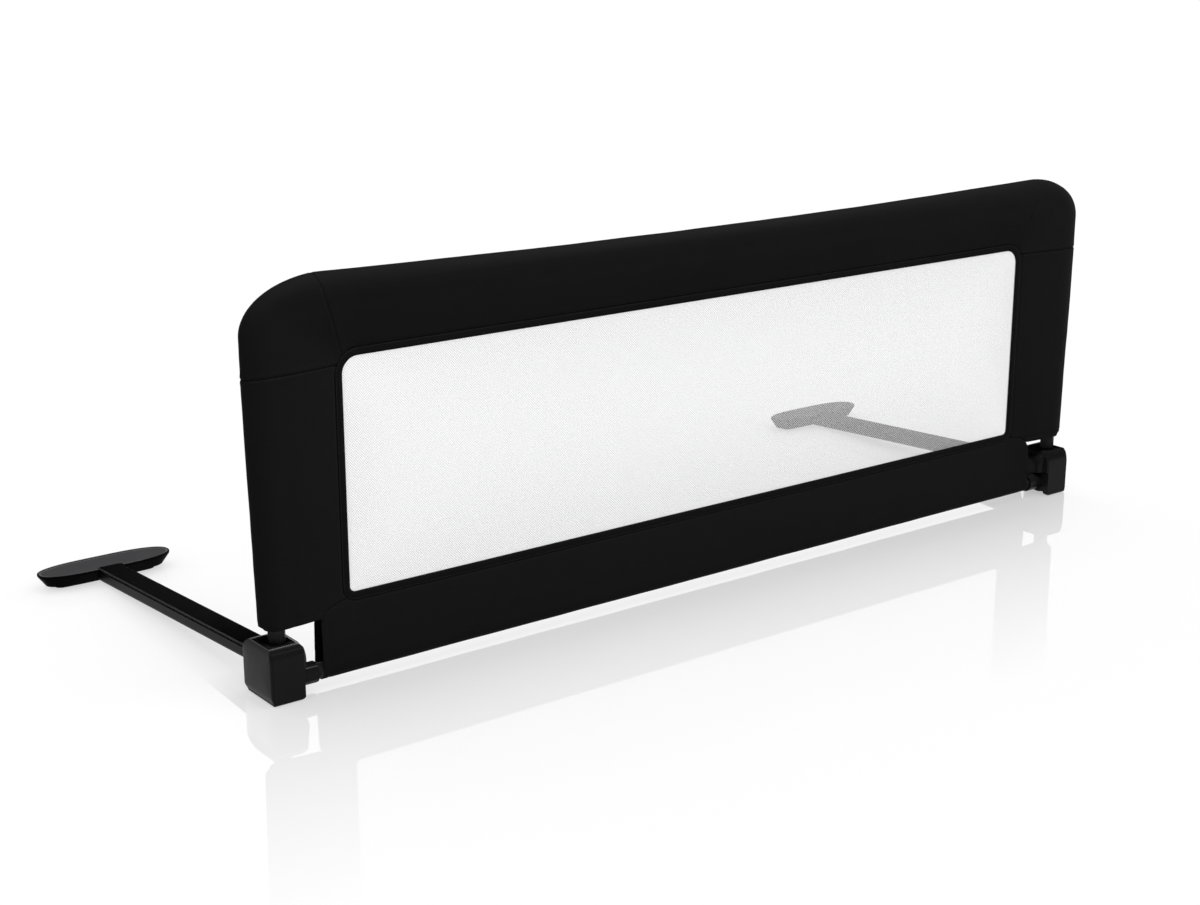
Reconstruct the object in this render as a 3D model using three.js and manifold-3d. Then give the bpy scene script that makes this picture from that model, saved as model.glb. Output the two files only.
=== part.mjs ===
// Folding bed guard rail. Millimetres, +Z up, +X to the right as seen from outside the bed, +Y towards
// the bed. A tube frame in a fabric cover stands in two hinge casings. Flat legs with oval feet run under
// the mattress. The guard lifts a little against a spring in each casing and then folds outwards about the
// hinge pins.

import * as THREE from 'three';
import { mergeVertices } from 'three/addons/utils/BufferGeometryUtils.js';
import Module from 'manifold-3d';

const wasm = await Module();
wasm.setup();

// Clearances that all pieces share
const seatGap = 0.3;          // between a piece and its seat
const overrun = 4;            // how far a cut runs past what it cuts

// Frame of round tube
const uprightPitch = 1430;    // between the uprights' centre lines
const tubeOuter = 22;
const tubeWall = 1.2;
const topTubeZ = 503.5;       // centre line of the top tube
const bendRadius = 45;        // centre line of the bent corner
const cornerReach = 190;      // the bent tube runs this far inboard of its upright
const uprightFootDrop = 16.7; // lower end of the upright below the casing's top
const crossbarOuter = 20;
const crossbarWall = 1.2;
const crossbarZ = 22;
const crossbarInsert = 33;    // the crossbar starts this far inboard of the upright's centre
const spigotLength = 90;
const spigotWall = 2;
const buttonRadius = 3;       // spring buttons that lock the tubes
const buttonPitch = 50;       // between the two buttons of a spigot
const buttonStandout = 1;     // the button's head above the tube

// Hinge casing, measured from the upright's centre
const casingOuterSide = 24;
const casingInnerSide = 25;
const casingShoulder = 34;    // the shoulder over the crossbar socket
const casingFront = 26.4;
const casingBack = 50;
const casingHeight = 75;
const casingWall = 2.8;
const casingCoverThickness = 3;
const casingTopBackRound = 26;
const casingLowBackRound = 10;
const casingEdgeRound = 3;
const casingFrontTopRound = 5;
const casingInnerTopRound = 12;
const casingInnerLowRound = 10;
const shoulderTopDrop = 8;    // the shoulder's top below the casing's top
const shoulderStart = 10;     // the shoulder starts this far behind the front face
const shoulderRound = 8;
const archRadius = 45;        // the round cut below the shoulder
const archCentreY = -20;
const archCentreZ = -5;
const archDepth = 2;          // how deep the arch is sunk into the inner wall
const innerWall = 5.6;        // from the casing's inner face to its hollow
const socketRadius = 14;      // crossbar socket
const socketReach = 50;       // its end, from the upright's centre
const topPocketDepth = 2.5;   // pocket round the upright in the casing's top
const topPocketHalfWidth = 16;
const topPocketFront = 22;
const topPocketBack = 17;
const topPocketRound = 9;
const uprightSleeveWall = 3.2;
const uprightSleeveDrop = 13; // the inner sleeve for the upright hangs this far below the top wall
const lintelDepth = 8;        // block above the leg that stops the guard upright
const lintelGap = 0.4;

// Hinge, pin and lift
const pivotY = -4;
const pivotDrop = 31.6;       // the pin below the casing's top
const pinRadius = 4;
const liftTravel = 10;
const knuckleRadius = 11;
const bracketOuterSide = 8;   // the bracket's faces, from the upright's centre
const bracketInnerSide = 17;
const bracketArmHalf = 8;     // half height of the bracket's arm
const bracketPlugLength = 40;
const bracketFlange = 4;
const pocketWall = 4;         // walls left round the arm's pockets
const pinBossThickness = 4;
const pinBossRadius = 9;
const pinEndGap = 0.5;
const toothWidth = 7;
const toothDepth = 5;
const toothGap = 0.5;         // between the tooth's tip and the knuckle
const notchDepth = 4;

// Return spring below the pin
const springCoil = 7;         // outer diameter
const springWire = 1.1;
const springTurns = 7;
const springSeatZ = 13.7;
const springCentre = 12.8;    // outboard of the upright's centre
const springPegRadius = 1.9;
const springPegHeight = 5;
const springSeatHalf = 8;

// Legs of flat tube
const legOffset = 9.5;        // the leg's centre line lies this far inboard of the upright's
const legWidth = 37;
const legHeight = 20.5;
const legWall = 1.5;
const legRound = 5;
const legStart = 44;          // from the pivot to the leg's front end
const legSideGap = 1;         // between the leg and the casing's slot

// Feet
const footLength = 200;
const footWidth = 59;
const footFrontY = 518.5;
const footTopZ = 22.9;
const footWall = 3;
const footTaper = 11;         // the side wall leans in by this much
const footRimWidth = 3.5;
const footRimDepth = 0.8;
const footNotch = 11;         // how deep the leg is let into the foot's front edge
const footBlock = 7;          // thickness of the cross wall that carries the tongue
const footRibs = 4;
const footRibThickness = 2.4;
const tongueLength = 45;
const soleThickness = 4.6;
const soleLength = 158;
const soleWidth = 27;

// Screws
const screwRadius = 1.5;
const screwHeadRadius = 3;
const screwHeadHeight = 2;
const pegRadius = 3;
const lowScrewY = -21;
const lowScrewZ = 9;
const lowPegRadius = 2.1;
const lowScrewRadius = 1.1;
const lowScrewHeadRadius = 2.2;
const lowBlockHeight = 14;
const highScrewDrop = 15;     // below the casing's top
const pegLength = 8;
const legScrewRadius = 1.75;
const legScrewHeadRadius = 4;
const legScrewHeadHeight = 1.6;
const legScrewLength = 9;
const legScrewInset = 22;     // from the tube's end to the screw

// Fabric cover
const coverSideWidth = 105;   // from the upright's centre line in to the window
const coverTopWidth = 86.5;   // from the top tube's centre line down to the window
const coverLowWidth = 93;     // from the crossbar's centre line up to the window
const windowTopRound = 22;
const windowLowRound = 8;
const bindingWidth = 11;
const bindingThickness = 4;
const hemAbove = 15;          // side sleeve's hem above the casing
const sleeveHemReach = 14;    // outer edge of the gathered hem beyond the upright's centre
const sleeveGather = 12;      // height over which the hem draws in
const sleeveReachLow = 24.5;  // outer edge of the cover beyond the upright's centre, above the hem
const sleeveReachHigh = 30.5; // the same at the top
const sleeveHalfThickness = 14;
const coverEdgeHalf = 2.3;    // half thickness where the cover meets the binding
const coverChannelGap = 0.5;  // round the tubes
const seamDrop = 8;           // seam between side sleeve and corner piece, below the window's top
const seamGap = 0.3;
const edgeSeamTurn = 48;      // degrees round the window's corner to the seam of the top band
const topSeamInset = 69;      // the same seam at the cover's top, from the upright's centre
const coverCornerRise = 22.5; // top of the cover above the top tube's centre, at the corners
const coverMiddleRise = 14;   // the same in the middle
const coverCornerRound = 67;
const bandSeamShares = [0, 0.4, 0.8, 1];   // places along the run of the bottom band's seam
const bellyShare = 0.68;      // how full the cover's section is half way to the tube
const bandEndGap = 7.5;       // between the crossbar socket and the bottom band
const bandEndDrop = 30.5;     // top of the bottom band at its ends, below the window
const bandSeamTurn = 45;      // degrees round the window's lower corner to the seam of the bottom band
const clothThickness = 1.5;
const hemWidth = 9;           // the cloth is sewn shut over this width at the binding
const bandStations = 5;
const netThickness = 1;
const netGapsAcross = 18;
const netGapsUp = 6;
const netCord = 5;            // width of the net's strands

// Facets
const tubeSides = 16;
const bendSteps = 7;
const roundSteps = 4;
const arcHandleShare = 0.5523;   // makes a Bezier corner follow a circle

// Places that follow from the sizes
const halfPitch = uprightPitch / 2;
const pivotZ = casingHeight - pivotDrop;
const highScrewZ = casingHeight - highScrewDrop;
const uprightFootZ = casingHeight - uprightFootDrop;
const tubeRadius = tubeOuter / 2;
const crossbarRadius = crossbarOuter / 2;
const legInnerSide = legOffset + legWidth / 2;
const legOuterSide = legOffset - legWidth / 2;
const legEndY = footFrontY + footNotch;
const legSlope = Math.atan((pivotZ + legHeight / 2 - footTopZ) / (legEndY - pivotY));
const legEnd = (legEndY - pivotY) / Math.cos(legSlope) - legHeight / 2 * Math.tan(legSlope);
const windowHalfWidth = halfPitch - coverSideWidth;
const windowTopZ = topTubeZ - coverTopWidth;
const windowLowZ = crossbarZ + coverLowWidth;
const bindingOutside = windowHalfWidth + bindingWidth;
const sleeveHemZ = casingHeight + hemAbove;
const sleeveOuterLow = halfPitch + sleeveReachLow;
const sleeveOuterHigh = halfPitch + sleeveReachHigh;
const seamZ = windowTopZ - seamDrop;
const topSeamX = halfPitch - topSeamInset;
const coverCornerTopZ = topTubeZ + coverCornerRise;
const coverMiddleTopZ = topTubeZ + coverMiddleRise;
const bandHalfLength = halfPitch - socketReach - bandEndGap;
const bandEndZ = windowLowZ - bandEndDrop;
const hollowInner = casingInnerSide - innerWall;
const coverSplit = casingOuterSide - casingCoverThickness;
const outermostBack = footFrontY + footWidth;
const middleY = (outermostBack - casingFront) / 2;

// A straight or bent route whose given points are its stations
class Route extends THREE.Curve {
  constructor(points) {
    super();
    this.points = points;
  }

  getPoint(t, target = new THREE.Vector3()) {
    const place = t * (this.points.length - 1);
    const i = Math.min(Math.floor(place), this.points.length - 2);
    return target.lerpVectors(this.points[i], this.points[i + 1], place - i);
  }

  getPointAt(u, target) {
    return this.getPoint(u, target);
  }

  getTangentAt(u, target = new THREE.Vector3()) {
    const last = this.points.length - 1;
    const i = Math.round(u * last);
    const before = this.points[Math.max(i - 1, 0)];
    const after = this.points[Math.min(i + 1, last)];
    const here = this.points[i];
    const into = here.clone().sub(before).normalize();
    const onward = after.clone().sub(here).normalize();
    return target.copy(into.add(onward)).normalize();
  }
}

// Turns a geometry into a solid, with its shared corners merged
function solid(geometry) {
  const bare = new THREE.BufferGeometry();
  bare.setAttribute('position', geometry.getAttribute('position'));
  if (geometry.index) bare.setIndex(geometry.index);
  const merged = mergeVertices(bare);
  return new wasm.Manifold(new wasm.Mesh({
    numProp: 3,
    vertProperties: new Float32Array(merged.getAttribute('position').array),
    triVerts: new Uint32Array(merged.index.array),
  }));
}

function geometryOf(body) {
  const mesh = body.getMesh();
  const geometry = new THREE.BufferGeometry();
  geometry.setAttribute('position', new THREE.BufferAttribute(mesh.vertProperties, 3));
  geometry.setIndex(new THREE.BufferAttribute(mesh.triVerts, 1));
  return geometry;
}

const joined = (...bodies) => bodies.reduce((sum, body) => sum.add(body));
const without = (body, ...cuts) => cuts.reduce((rest, cut) => rest.subtract(cut), body);

// A closed outline through [x, y, round] corners
function outline(corners) {
  const shape = new THREE.Shape();
  corners.forEach(([x, y, round = 0], i) => {
    const corner = new THREE.Vector2(x, y);
    const next = corners[(i + 1) % corners.length];
    const before = new THREE.Vector2(...corners.at(i - 1).slice(0, 2)).sub(corner).setLength(round);
    const after = new THREE.Vector2(...next.slice(0, 2)).sub(corner).setLength(round);
    before.add(corner);
    after.add(corner);
    if (i === 0) shape.moveTo(before.x, before.y);
    else shape.lineTo(before.x, before.y);
    const leave = before.clone().lerp(corner, arcHandleShare);
    const arrive = after.clone().lerp(corner, arcHandleShare);
    if (round) shape.bezierCurveTo(leave.x, leave.y, arrive.x, arrive.y, after.x, after.y);
  });
  return shape;
}

function circle(radius, sides = tubeSides) {
  return Array.from({ length: sides }, (_, i) => {
    const turn = (i + 0.5) / sides * 2 * Math.PI;
    return new THREE.Vector2(radius * Math.cos(turn), radius * Math.sin(turn));
  });
}

function extruded(shape, depth, axes) {
  const options = { depth, bevelEnabled: false, curveSegments: roundSteps };
  const geometry = new THREE.ExtrudeGeometry(shape, options);
  return geometry.applyMatrix4(new THREE.Matrix4().makeBasis(...axes));
}

const axisX = new THREE.Vector3(1, 0, 0);
const axisY = new THREE.Vector3(0, 1, 0);
const axisZ = new THREE.Vector3(0, 0, 1);

// Prisms whose outline is drawn in the other two axes
function prismX(shapeYZ, x0, x1) {
  return solid(extruded(shapeYZ, x1 - x0, [axisY, axisZ, axisX]).translate(x0, 0, 0));
}

function prismY(shapeXZ, y0, y1) {
  return solid(extruded(shapeXZ, y1 - y0, [axisX, axisZ, axisY.clone().negate()]).translate(0, y1, 0));
}

function prismZ(shapeXY, z0, z1) {
  return solid(extruded(shapeXY, z1 - z0, [axisX, axisY, axisZ]).translate(0, 0, z0));
}

function block([x0, x1], [y0, y1], [z0, z1]) {
  const box = new THREE.BoxGeometry(x1 - x0, y1 - y0, z1 - z0);
  return solid(box.translate((x0 + x1) / 2, (y0 + y1) / 2, (z0 + z1) / 2));
}

// A round bar between two points
function rod(radius, from, to, sides = tubeSides) {
  const start = new THREE.Vector3(...from);
  const along = new THREE.Vector3(...to).sub(start);
  const length = along.length();
  const bar = new THREE.CylinderGeometry(radius, radius, length, sides).translate(0, length / 2, 0);
  bar.applyQuaternion(new THREE.Quaternion().setFromUnitVectors(axisY, along.normalize()));
  return solid(bar.translate(start.x, start.y, start.z));
}

function pipe(points, radius) {
  const options = { steps: points.length - 1, extrudePath: new Route(points) };
  return solid(new THREE.ExtrudeGeometry(new THREE.Shape(circle(radius)), options));
}

// Skins a row of convex rings and closes both ends
function loft(rings) {
  const count = rings[0].length;
  const index = [];
  for (let r = 0; r + 1 < rings.length; r++) {
    for (let i = 0; i < count; i++) {
      const a = r * count + i;
      const b = r * count + (i + 1) % count;
      index.push(a, b, b + count, a, b + count, a + count);
    }
  }
  const last = (rings.length - 1) * count;
  for (let i = 1; i + 1 < count; i++) {
    index.push(0, i + 1, i, last, last + i, last + i + 1);
  }
  const geometry = new THREE.BufferGeometry();
  const positions = rings.flat().flatMap((p) => p.toArray());
  geometry.setAttribute('position', new THREE.Float32BufferAttribute(positions, 3));
  geometry.setIndex(index);
  return solid(signedVolume(geometry) < 0 ? flipped(geometry) : geometry);
}

function signedVolume(geometry) {
  const [a, b, c] = [new THREE.Vector3(), new THREE.Vector3(), new THREE.Vector3()];
  const positions = geometry.getAttribute('position');
  let volume = 0;
  for (let i = 0; i < geometry.index.count; i += 3) {
    a.fromBufferAttribute(positions, geometry.index.getX(i));
    b.fromBufferAttribute(positions, geometry.index.getX(i + 1));
    c.fromBufferAttribute(positions, geometry.index.getX(i + 2));
    volume += a.dot(b.cross(c)) / 6;
  }
  return volume;
}

function flipped(geometry) {
  const index = Array.from(geometry.index.array);
  for (let i = 0; i < index.length; i += 3) [index[i], index[i + 1]] = [index[i + 1], index[i]];
  return geometry.setIndex(index);
}

const finishes = {
  fabric: new THREE.MeshStandardMaterial({ color: 0x151515, roughness: 0.9, metalness: 0 }),
  binding: new THREE.MeshStandardMaterial({ color: 0x101010, roughness: 0.8, metalness: 0 }),
  net: new THREE.MeshStandardMaterial({ color: 0xf0f0f0, roughness: 0.8, metalness: 0 }),
  gloss: new THREE.MeshStandardMaterial({ color: 0x1c1c1c, roughness: 0.3, metalness: 0 }),
  inner: new THREE.MeshStandardMaterial({ color: 0x202020, roughness: 0.6, metalness: 0 }),
  tube: new THREE.MeshStandardMaterial({ color: 0x262626, roughness: 0.35, metalness: 0.4 }),
  leg: new THREE.MeshStandardMaterial({ color: 0x181818, roughness: 0.35, metalness: 0.4 }),
  foot: new THREE.MeshStandardMaterial({ color: 0x2c2c2c, roughness: 0.55, metalness: 0 }),
  rubber: new THREE.MeshStandardMaterial({ color: 0x101010, roughness: 0.95, metalness: 0 }),
  steel: new THREE.MeshStandardMaterial({ color: 0x9a9c9e, roughness: 0.3, metalness: 1 }),
};

const guardRail = new THREE.Group();
guardRail.position.y = -middleY;

function place(name, body, finish, parent = guardRail) {
  const mesh = new THREE.Mesh(geometryOf(body), finishes[finish].clone());
  mesh.name = name;
  parent.add(mesh);
}

// Sides: a side's pieces are drawn with x inboard from the left upright, and mirrored for the right
const sides = [{ name: 'left', sign: 1 }, { name: 'right', sign: -1 }];

function placeSide(name, body, finish) {
  for (const side of sides) {
    let geometry = geometryOf(body);
    if (side.sign < 0) geometry = flipped(geometry.clone().scale(-1, 1, 1));
    const mesh = new THREE.Mesh(geometry, finishes[finish].clone());
    mesh.name = `${name}_${side.name}`;
    mesh.position.x = -side.sign * halfPitch;
    guardRail.add(mesh);
  }
}

// Legs are drawn along +Y from the pivot and then sloped down to the feet
const legPlace = new THREE.Matrix4().makeTranslation(0, pivotY, pivotZ)
  .multiply(new THREE.Matrix4().makeRotationX(-legSlope));

function sloped(body) {
  return solid(geometryOf(body).applyMatrix4(legPlace));
}

function roundedBar(x0, x1, halfHeight, round, y0, y1) {
  const corners = [[x0, -halfHeight], [x1, -halfHeight], [x1, halfHeight], [x0, halfHeight]];
  return prismY(outline(corners.map((corner) => [...corner, round])), y0, y1);
}

// Hinge casing

function casingSideOutline(inset) {
  return outline([
    [-casingFront + inset, inset, Math.max(casingEdgeRound - inset, seatGap)],
    [casingBack - inset, inset, casingLowBackRound],
    [casingBack - inset, casingHeight - inset, casingTopBackRound - inset],
    [-casingFront + inset, casingHeight - inset, Math.max(casingFrontTopRound - inset, seatGap)],
  ]);
}

function casingBlank() {
  const side = prismX(casingSideOutline(0), -casingOuterSide, casingShoulder);
  const front = prismY(outline([
    [-casingOuterSide, 0, casingEdgeRound],
    [casingInnerSide, 0, casingInnerLowRound],
    [casingInnerSide, casingHeight, casingInnerTopRound],
    [-casingOuterSide, casingHeight, casingEdgeRound],
  ]), -casingFront, casingBack);
  const plan = prismZ(outline([
    [-casingOuterSide, -casingFront, casingEdgeRound],
    [casingInnerSide, -casingFront, casingEdgeRound],
    [casingInnerSide, casingBack, casingEdgeRound],
    [-casingOuterSide, casingBack, casingEdgeRound],
  ]), 0, casingHeight);
  const shoulderFront = prismY(outline([
    [hollowInner, 0],
    [casingShoulder, 0, casingEdgeRound],
    [casingShoulder, casingHeight - shoulderTopDrop, shoulderRound],
    [hollowInner, casingHeight - shoulderTopDrop],
  ]), -casingFront, casingBack);
  const shoulderPlan = prismZ(outline([
    [hollowInner, shoulderStart - casingFront],
    [casingShoulder, shoulderStart - casingFront, shoulderRound],
    [casingShoulder, casingBack, casingEdgeRound],
    [hollowInner, casingBack],
  ]), 0, casingHeight);
  const shoulder = without(shoulderFront.intersect(shoulderPlan).intersect(side), arch(casingInnerSide));
  return joined(front.intersect(plan).intersect(side), shoulder);
}

// The round cut over the crossbar socket, from the given depth outwards
function arch(fromX) {
  const centre = [archCentreY, archCentreZ];
  return rod(archRadius, [fromX, ...centre], [casingShoulder + overrun, ...centre], tubeSides * 2);
}

// The slot that a pin slides in while the guard lifts
function pinSlot(x0, x1) {
  const radius = pinRadius + seatGap;
  const high = [pivotY, pivotZ];
  const low = [pivotY, pivotZ - liftTravel];
  const between = block([x0, x1], [pivotY - radius, pivotY + radius], [low[1], high[1]]);
  return joined(rod(radius, [x0, ...high], [x1, ...high]), rod(radius, [x0, ...low], [x1, ...low]), between);
}

// The space that the leg's front end sweeps while the guard folds
function legSweep() {
  const reach = casingBack + casingHeight;
  const near = legStart - bracketFlange - legSideGap;
  const above = Math.asin((legHeight / 2 + lintelGap) / near);
  const shape = new THREE.Shape();
  shape.moveTo(near * Math.cos(above), near * Math.sin(above));
  shape.lineTo(reach, near * Math.sin(above));
  shape.lineTo(reach, -reach);
  const below = -Math.PI / 2 - legSlope - above;
  shape.lineTo(reach * Math.cos(below), -reach);
  shape.lineTo(near * Math.cos(below), near * Math.sin(below));
  shape.absarc(0, 0, near, below, above, false);
  const sweep = prismX(shape, legOuterSide - legSideGap, legInnerSide + legSideGap);
  return solid(geometryOf(sweep).translate(0, pivotY, pivotZ));
}

const lintelFront = casingBack - casingWall - lintelDepth;
const lintelZ = pivotZ + legHeight / 2 - (lintelFront - pivotY) * Math.tan(legSlope) + lintelGap;
const highScrewY = lintelFront + pegRadius + seatGap;

function casingBody() {
  const hollow = prismX(casingSideOutline(casingWall), -casingOuterSide, hollowInner);
  const intoWall = hollowInner + overrun;
  const frontBlock = block([-coverSplit, intoWall], [-casingFront, lowScrewY + lowPegRadius + seatGap],
    [0, lowBlockHeight]);
  const lintel = block([-coverSplit, intoWall], [lintelFront, casingBack], [lintelZ, casingHeight]);
  const springSeat = block([-coverSplit, -bracketOuterSide - legSideGap],
    [-casingFront, pivotY + springSeatHalf], [0, springSeatZ]);
  const sleeveRadius = tubeRadius + seatGap + uprightSleeveWall;
  const sleeveFoot = casingHeight - casingWall - uprightSleeveDrop;
  const sleeve = rod(sleeveRadius, [0, 0, sleeveFoot], [0, 0, casingHeight]);
  const kept = joined(frontBlock, lintel, springSeat, sleeve).intersect(casingBlank());
  const shell = joined(without(casingBlank(), hollow), kept);
  const peg = rod(springPegRadius, [-springCentre, pivotY, springSeatZ - overrun],
    [-springCentre, pivotY, springSeatZ + springPegHeight]);
  const socket = rod(socketRadius, [hollowInner, 0, crossbarZ], [socketReach, 0, crossbarZ]);
  const floorOpening = block([-bracketOuterSide - legSideGap, hollowInner],
    [lowScrewY + lowPegRadius + seatGap, casingBack + overrun], [-overrun, casingWall]);
  const coverRoom = block([-casingOuterSide - overrun, -coverSplit + seatGap],
    [-casingFront - overrun, casingBack + overrun], [-overrun, casingHeight + overrun]);
  const topPocket = prismZ(outline([
    [-topPocketHalfWidth, -topPocketFront, topPocketRound],
    [topPocketHalfWidth, -topPocketFront, topPocketRound],
    [topPocketHalfWidth, topPocketBack, topPocketRound],
    [-topPocketHalfWidth, topPocketBack, topPocketRound],
  ]), casingHeight - topPocketDepth, casingHeight + overrun);
  const uprightBore = rod(tubeRadius + seatGap, [0, 0, sleeveFoot - overrun], [0, 0, casingHeight + overrun]);
  const lockHole = rod(buttonRadius + seatGap, [0, 0, buttonZ], [0, sleeveRadius + overrun, buttonZ]);
  const crossbarBore = rod(crossbarRadius + seatGap, [crossbarInsert - seatGap, 0, crossbarZ],
    [socketReach + overrun, 0, crossbarZ]);
  const socketScrewHole = rod(screwRadius + seatGap, [socketScrewX, 0, crossbarZ],
    [socketScrewX, socketRadius + overrun, crossbarZ]);
  const archCut = without(arch(casingInnerSide - archDepth), socket);
  return without(joined(without(shell, archCut), peg, socket), legSweep(), floorOpening, coverRoom, topPocket,
    uprightBore, lockHole, crossbarBore, socketScrewHole,
    pinSlot(hollowInner - overrun, casingInnerSide - archDepth - pinEndGap * 2),
    screwRoom(highScrewY, highScrewZ, pegRadius, screwRadius, screwHeadRadius, casingShoulder),
    screwRoom(lowScrewY, lowScrewZ, lowPegRadius, lowScrewRadius, lowScrewHeadRadius, casingInnerSide));
}

// The bore for a casing screw, the pocket for its head and the room for the cover's peg
function screwRoom(y, z, peg, radius, head, faceX) {
  const headX = faceX - screwHeadHeight - archDepth - seatGap * 2;
  return joined(
    rod(peg + seatGap, [-casingOuterSide, y, z], [-coverSplit + pegLength + seatGap, y, z]),
    rod(radius + seatGap, [-casingOuterSide, y, z], [faceX, y, z]),
    rod(head + seatGap, [headX, y, z], [faceX + overrun, y, z]),
  );
}

function casingScrew(y, z, radius, head, faceX) {
  const headX = faceX - screwHeadHeight - archDepth - seatGap;
  return joined(
    rod(radius, [-coverSplit + pinEndGap, y, z], [headX + screwHeadHeight / 2, y, z]),
    rod(head, [headX, y, z], [headX + screwHeadHeight, y, z]),
  );
}

function casingCover() {
  const plate = casingBlank().intersect(block([-casingOuterSide, -coverSplit],
    [-casingFront, casingBack], [0, casingHeight]));
  const pinBoss = rod(pinBossRadius, [-coverSplit - seatGap, pivotY, pivotZ],
    [-coverSplit + pinBossThickness, pivotY, pivotZ]);
  const lowerBoss = rod(pinBossRadius, [-coverSplit - seatGap, pivotY, pivotZ - liftTravel],
    [-coverSplit + pinBossThickness, pivotY, pivotZ - liftTravel]);
  const high = [highScrewY, highScrewZ];
  const low = [lowScrewY, lowScrewZ];
  const pegs = joined(
    rod(pegRadius, [-coverSplit - seatGap, ...high], [-coverSplit + pegLength, ...high]),
    rod(lowPegRadius, [-coverSplit - seatGap, ...low], [-coverSplit + pegLength, ...low]),
  );
  return without(joined(plate, pinBoss, lowerBoss, pegs),
    pinSlot(-coverSplit - pinEndGap, casingShoulder),
    rod(screwRadius + seatGap, [-coverSplit, ...high], [casingShoulder, ...high]),
    rod(lowScrewRadius + seatGap, [-coverSplit, ...low], [casingShoulder, ...low]));
}

// Places that the casing shares with the tubes in it
const buttonZ = casingHeight - casingWall - uprightSleeveDrop / 2;
const socketScrewX = (casingShoulder + socketReach) / 2;

placeSide('casing_body', casingBody(), 'gloss');
placeSide('casing_cover', casingCover(), 'gloss');
placeSide('casing_screw_high',
  casingScrew(highScrewY, highScrewZ, screwRadius, screwHeadRadius, casingShoulder), 'steel');
placeSide('casing_screw_low',
  casingScrew(lowScrewY, lowScrewZ, lowScrewRadius, lowScrewHeadRadius, casingInnerSide), 'steel');

// Ring that closes the pocket round the upright
function tubeCollar() {
  const foot = casingHeight - topPocketDepth + seatGap;
  const outer = rod(topPocketHalfWidth - seatGap, [0, 0, foot], [0, 0, casingHeight]);
  return without(outer, rod(tubeRadius + seatGap, [0, 0, foot - overrun], [0, 0, casingHeight + overrun]));
}

placeSide('tube_collar', tubeCollar(), 'rubber');

// Hinge pin and return spring

const pinOuterEnd = -coverSplit - pinEndGap + seatGap;
const pinInnerEnd = casingInnerSide - archDepth - pinEndGap * 2 - seatGap;
placeSide('hinge_pin', rod(pinRadius, [pinOuterEnd, pivotY, pivotZ], [pinInnerEnd, pivotY, pivotZ]), 'steel');

function liftSpring() {
  const stepsPerTurn = 8;
  const wireSides = 5;
  const low = springSeatZ + springWire / 2 + seatGap;
  const high = pivotZ - pinRadius - springWire / 2 - seatGap;
  const coil = (springCoil - springWire) / 2;
  const steps = springTurns * stepsPerTurn;
  const points = Array.from({ length: steps + 1 }, (_, i) => {
    const turn = i / stepsPerTurn * 2 * Math.PI;
    return new THREE.Vector3(coil * Math.cos(turn) - springCentre, coil * Math.sin(turn) + pivotY,
      low + (high - low) * i / steps);
  });
  const section = new THREE.Shape(circle(springWire / 2, wireSides));
  return solid(new THREE.ExtrudeGeometry(section, { steps, extrudePath: new Route(points) }));
}

placeSide('lift_spring', liftSpring(), 'steel');

// Leg and its hinge bracket

const legHalf = legHeight / 2;
const plugHalf = legHalf - legWall - seatGap;
const plugSides = [legOuterSide + legWall + seatGap, legInnerSide - legWall - seatGap];

function legScrewCut(y, radius) {
  return rod(radius, [legOffset, y, -legHalf - overrun], [legOffset, y, -legHalf + legScrewLength]);
}

function legScrew(y) {
  return joined(
    rod(legScrewRadius, [legOffset, y, -legHalf - legScrewHeadHeight / 2],
      [legOffset, y, -legHalf + legScrewLength - seatGap]),
    rod(legScrewHeadRadius, [legOffset, y, -legHalf - legScrewHeadHeight - seatGap],
      [legOffset, y, -legHalf - seatGap]),
  );
}

const bracketScrewY = legStart + legScrewInset;
const footScrewY = legEnd - legScrewInset;

function hingeBracket() {
  const width = [-bracketOuterSide, bracketInnerSide];
  const knuckle = rod(knuckleRadius, [width[0], 0, 0], [width[1], 0, 0], tubeSides + roundSteps * 2);
  const arm = block(width, [0, legStart], [-bracketArmHalf, bracketArmHalf]);
  const flange = roundedBar(legOuterSide, legInnerSide, legHalf, legRound, legStart - bracketFlange,
    legStart - seatGap);
  const plug = roundedBar(...plugSides, plugHalf, legRound - legWall, legStart - bracketFlange,
    legStart + bracketPlugLength);
  const midX = (width[0] + width[1]) / 2;
  const pocketEnd = legStart - bracketFlange - pocketWall;
  const pocketSpan = [knuckleRadius + pocketWall, pocketEnd];
  const spans = [
    [width[0] + pocketWall, midX - pocketWall / 2],
    [midX + pocketWall / 2, width[1] - pocketWall],
  ];
  const pocketHeights = [-bracketArmHalf - overrun, bracketArmHalf - pocketWall];
  const pockets = spans.map((span) => block(span, pocketSpan, pocketHeights));
  const notch = block([-toothWidth / 2 - toothGap * 2, toothWidth / 2 + toothGap * 2],
    [-toothDepth / 2 - toothGap, toothDepth / 2 + toothGap],
    [knuckleRadius - notchDepth, knuckleRadius + overrun]);
  return without(joined(knuckle, arm, flange, plug), ...pockets, notch,
    rod(pinRadius + seatGap, [width[0] - overrun, 0, 0], [width[1] + overrun, 0, 0]),
    legScrewCut(bracketScrewY, legScrewRadius + seatGap));
}

function legTube() {
  const outer = roundedBar(legOuterSide, legInnerSide, legHalf, legRound, legStart, legEnd - seatGap);
  const inner = roundedBar(legOuterSide + legWall, legInnerSide - legWall, legHalf - legWall,
    legRound - legWall, legStart - overrun, legEnd + overrun);
  return without(outer, inner, legScrewCut(bracketScrewY, legScrewRadius + seatGap),
    legScrewCut(footScrewY, legScrewRadius + seatGap));
}

placeSide('hinge_bracket', sloped(hingeBracket()), 'inner');
placeSide('leg_tube', sloped(legTube()), 'leg');
placeSide('bracket_screw', sloped(legScrew(bracketScrewY)), 'steel');
placeSide('foot_screw', sloped(legScrew(footScrewY)), 'steel');

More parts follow.
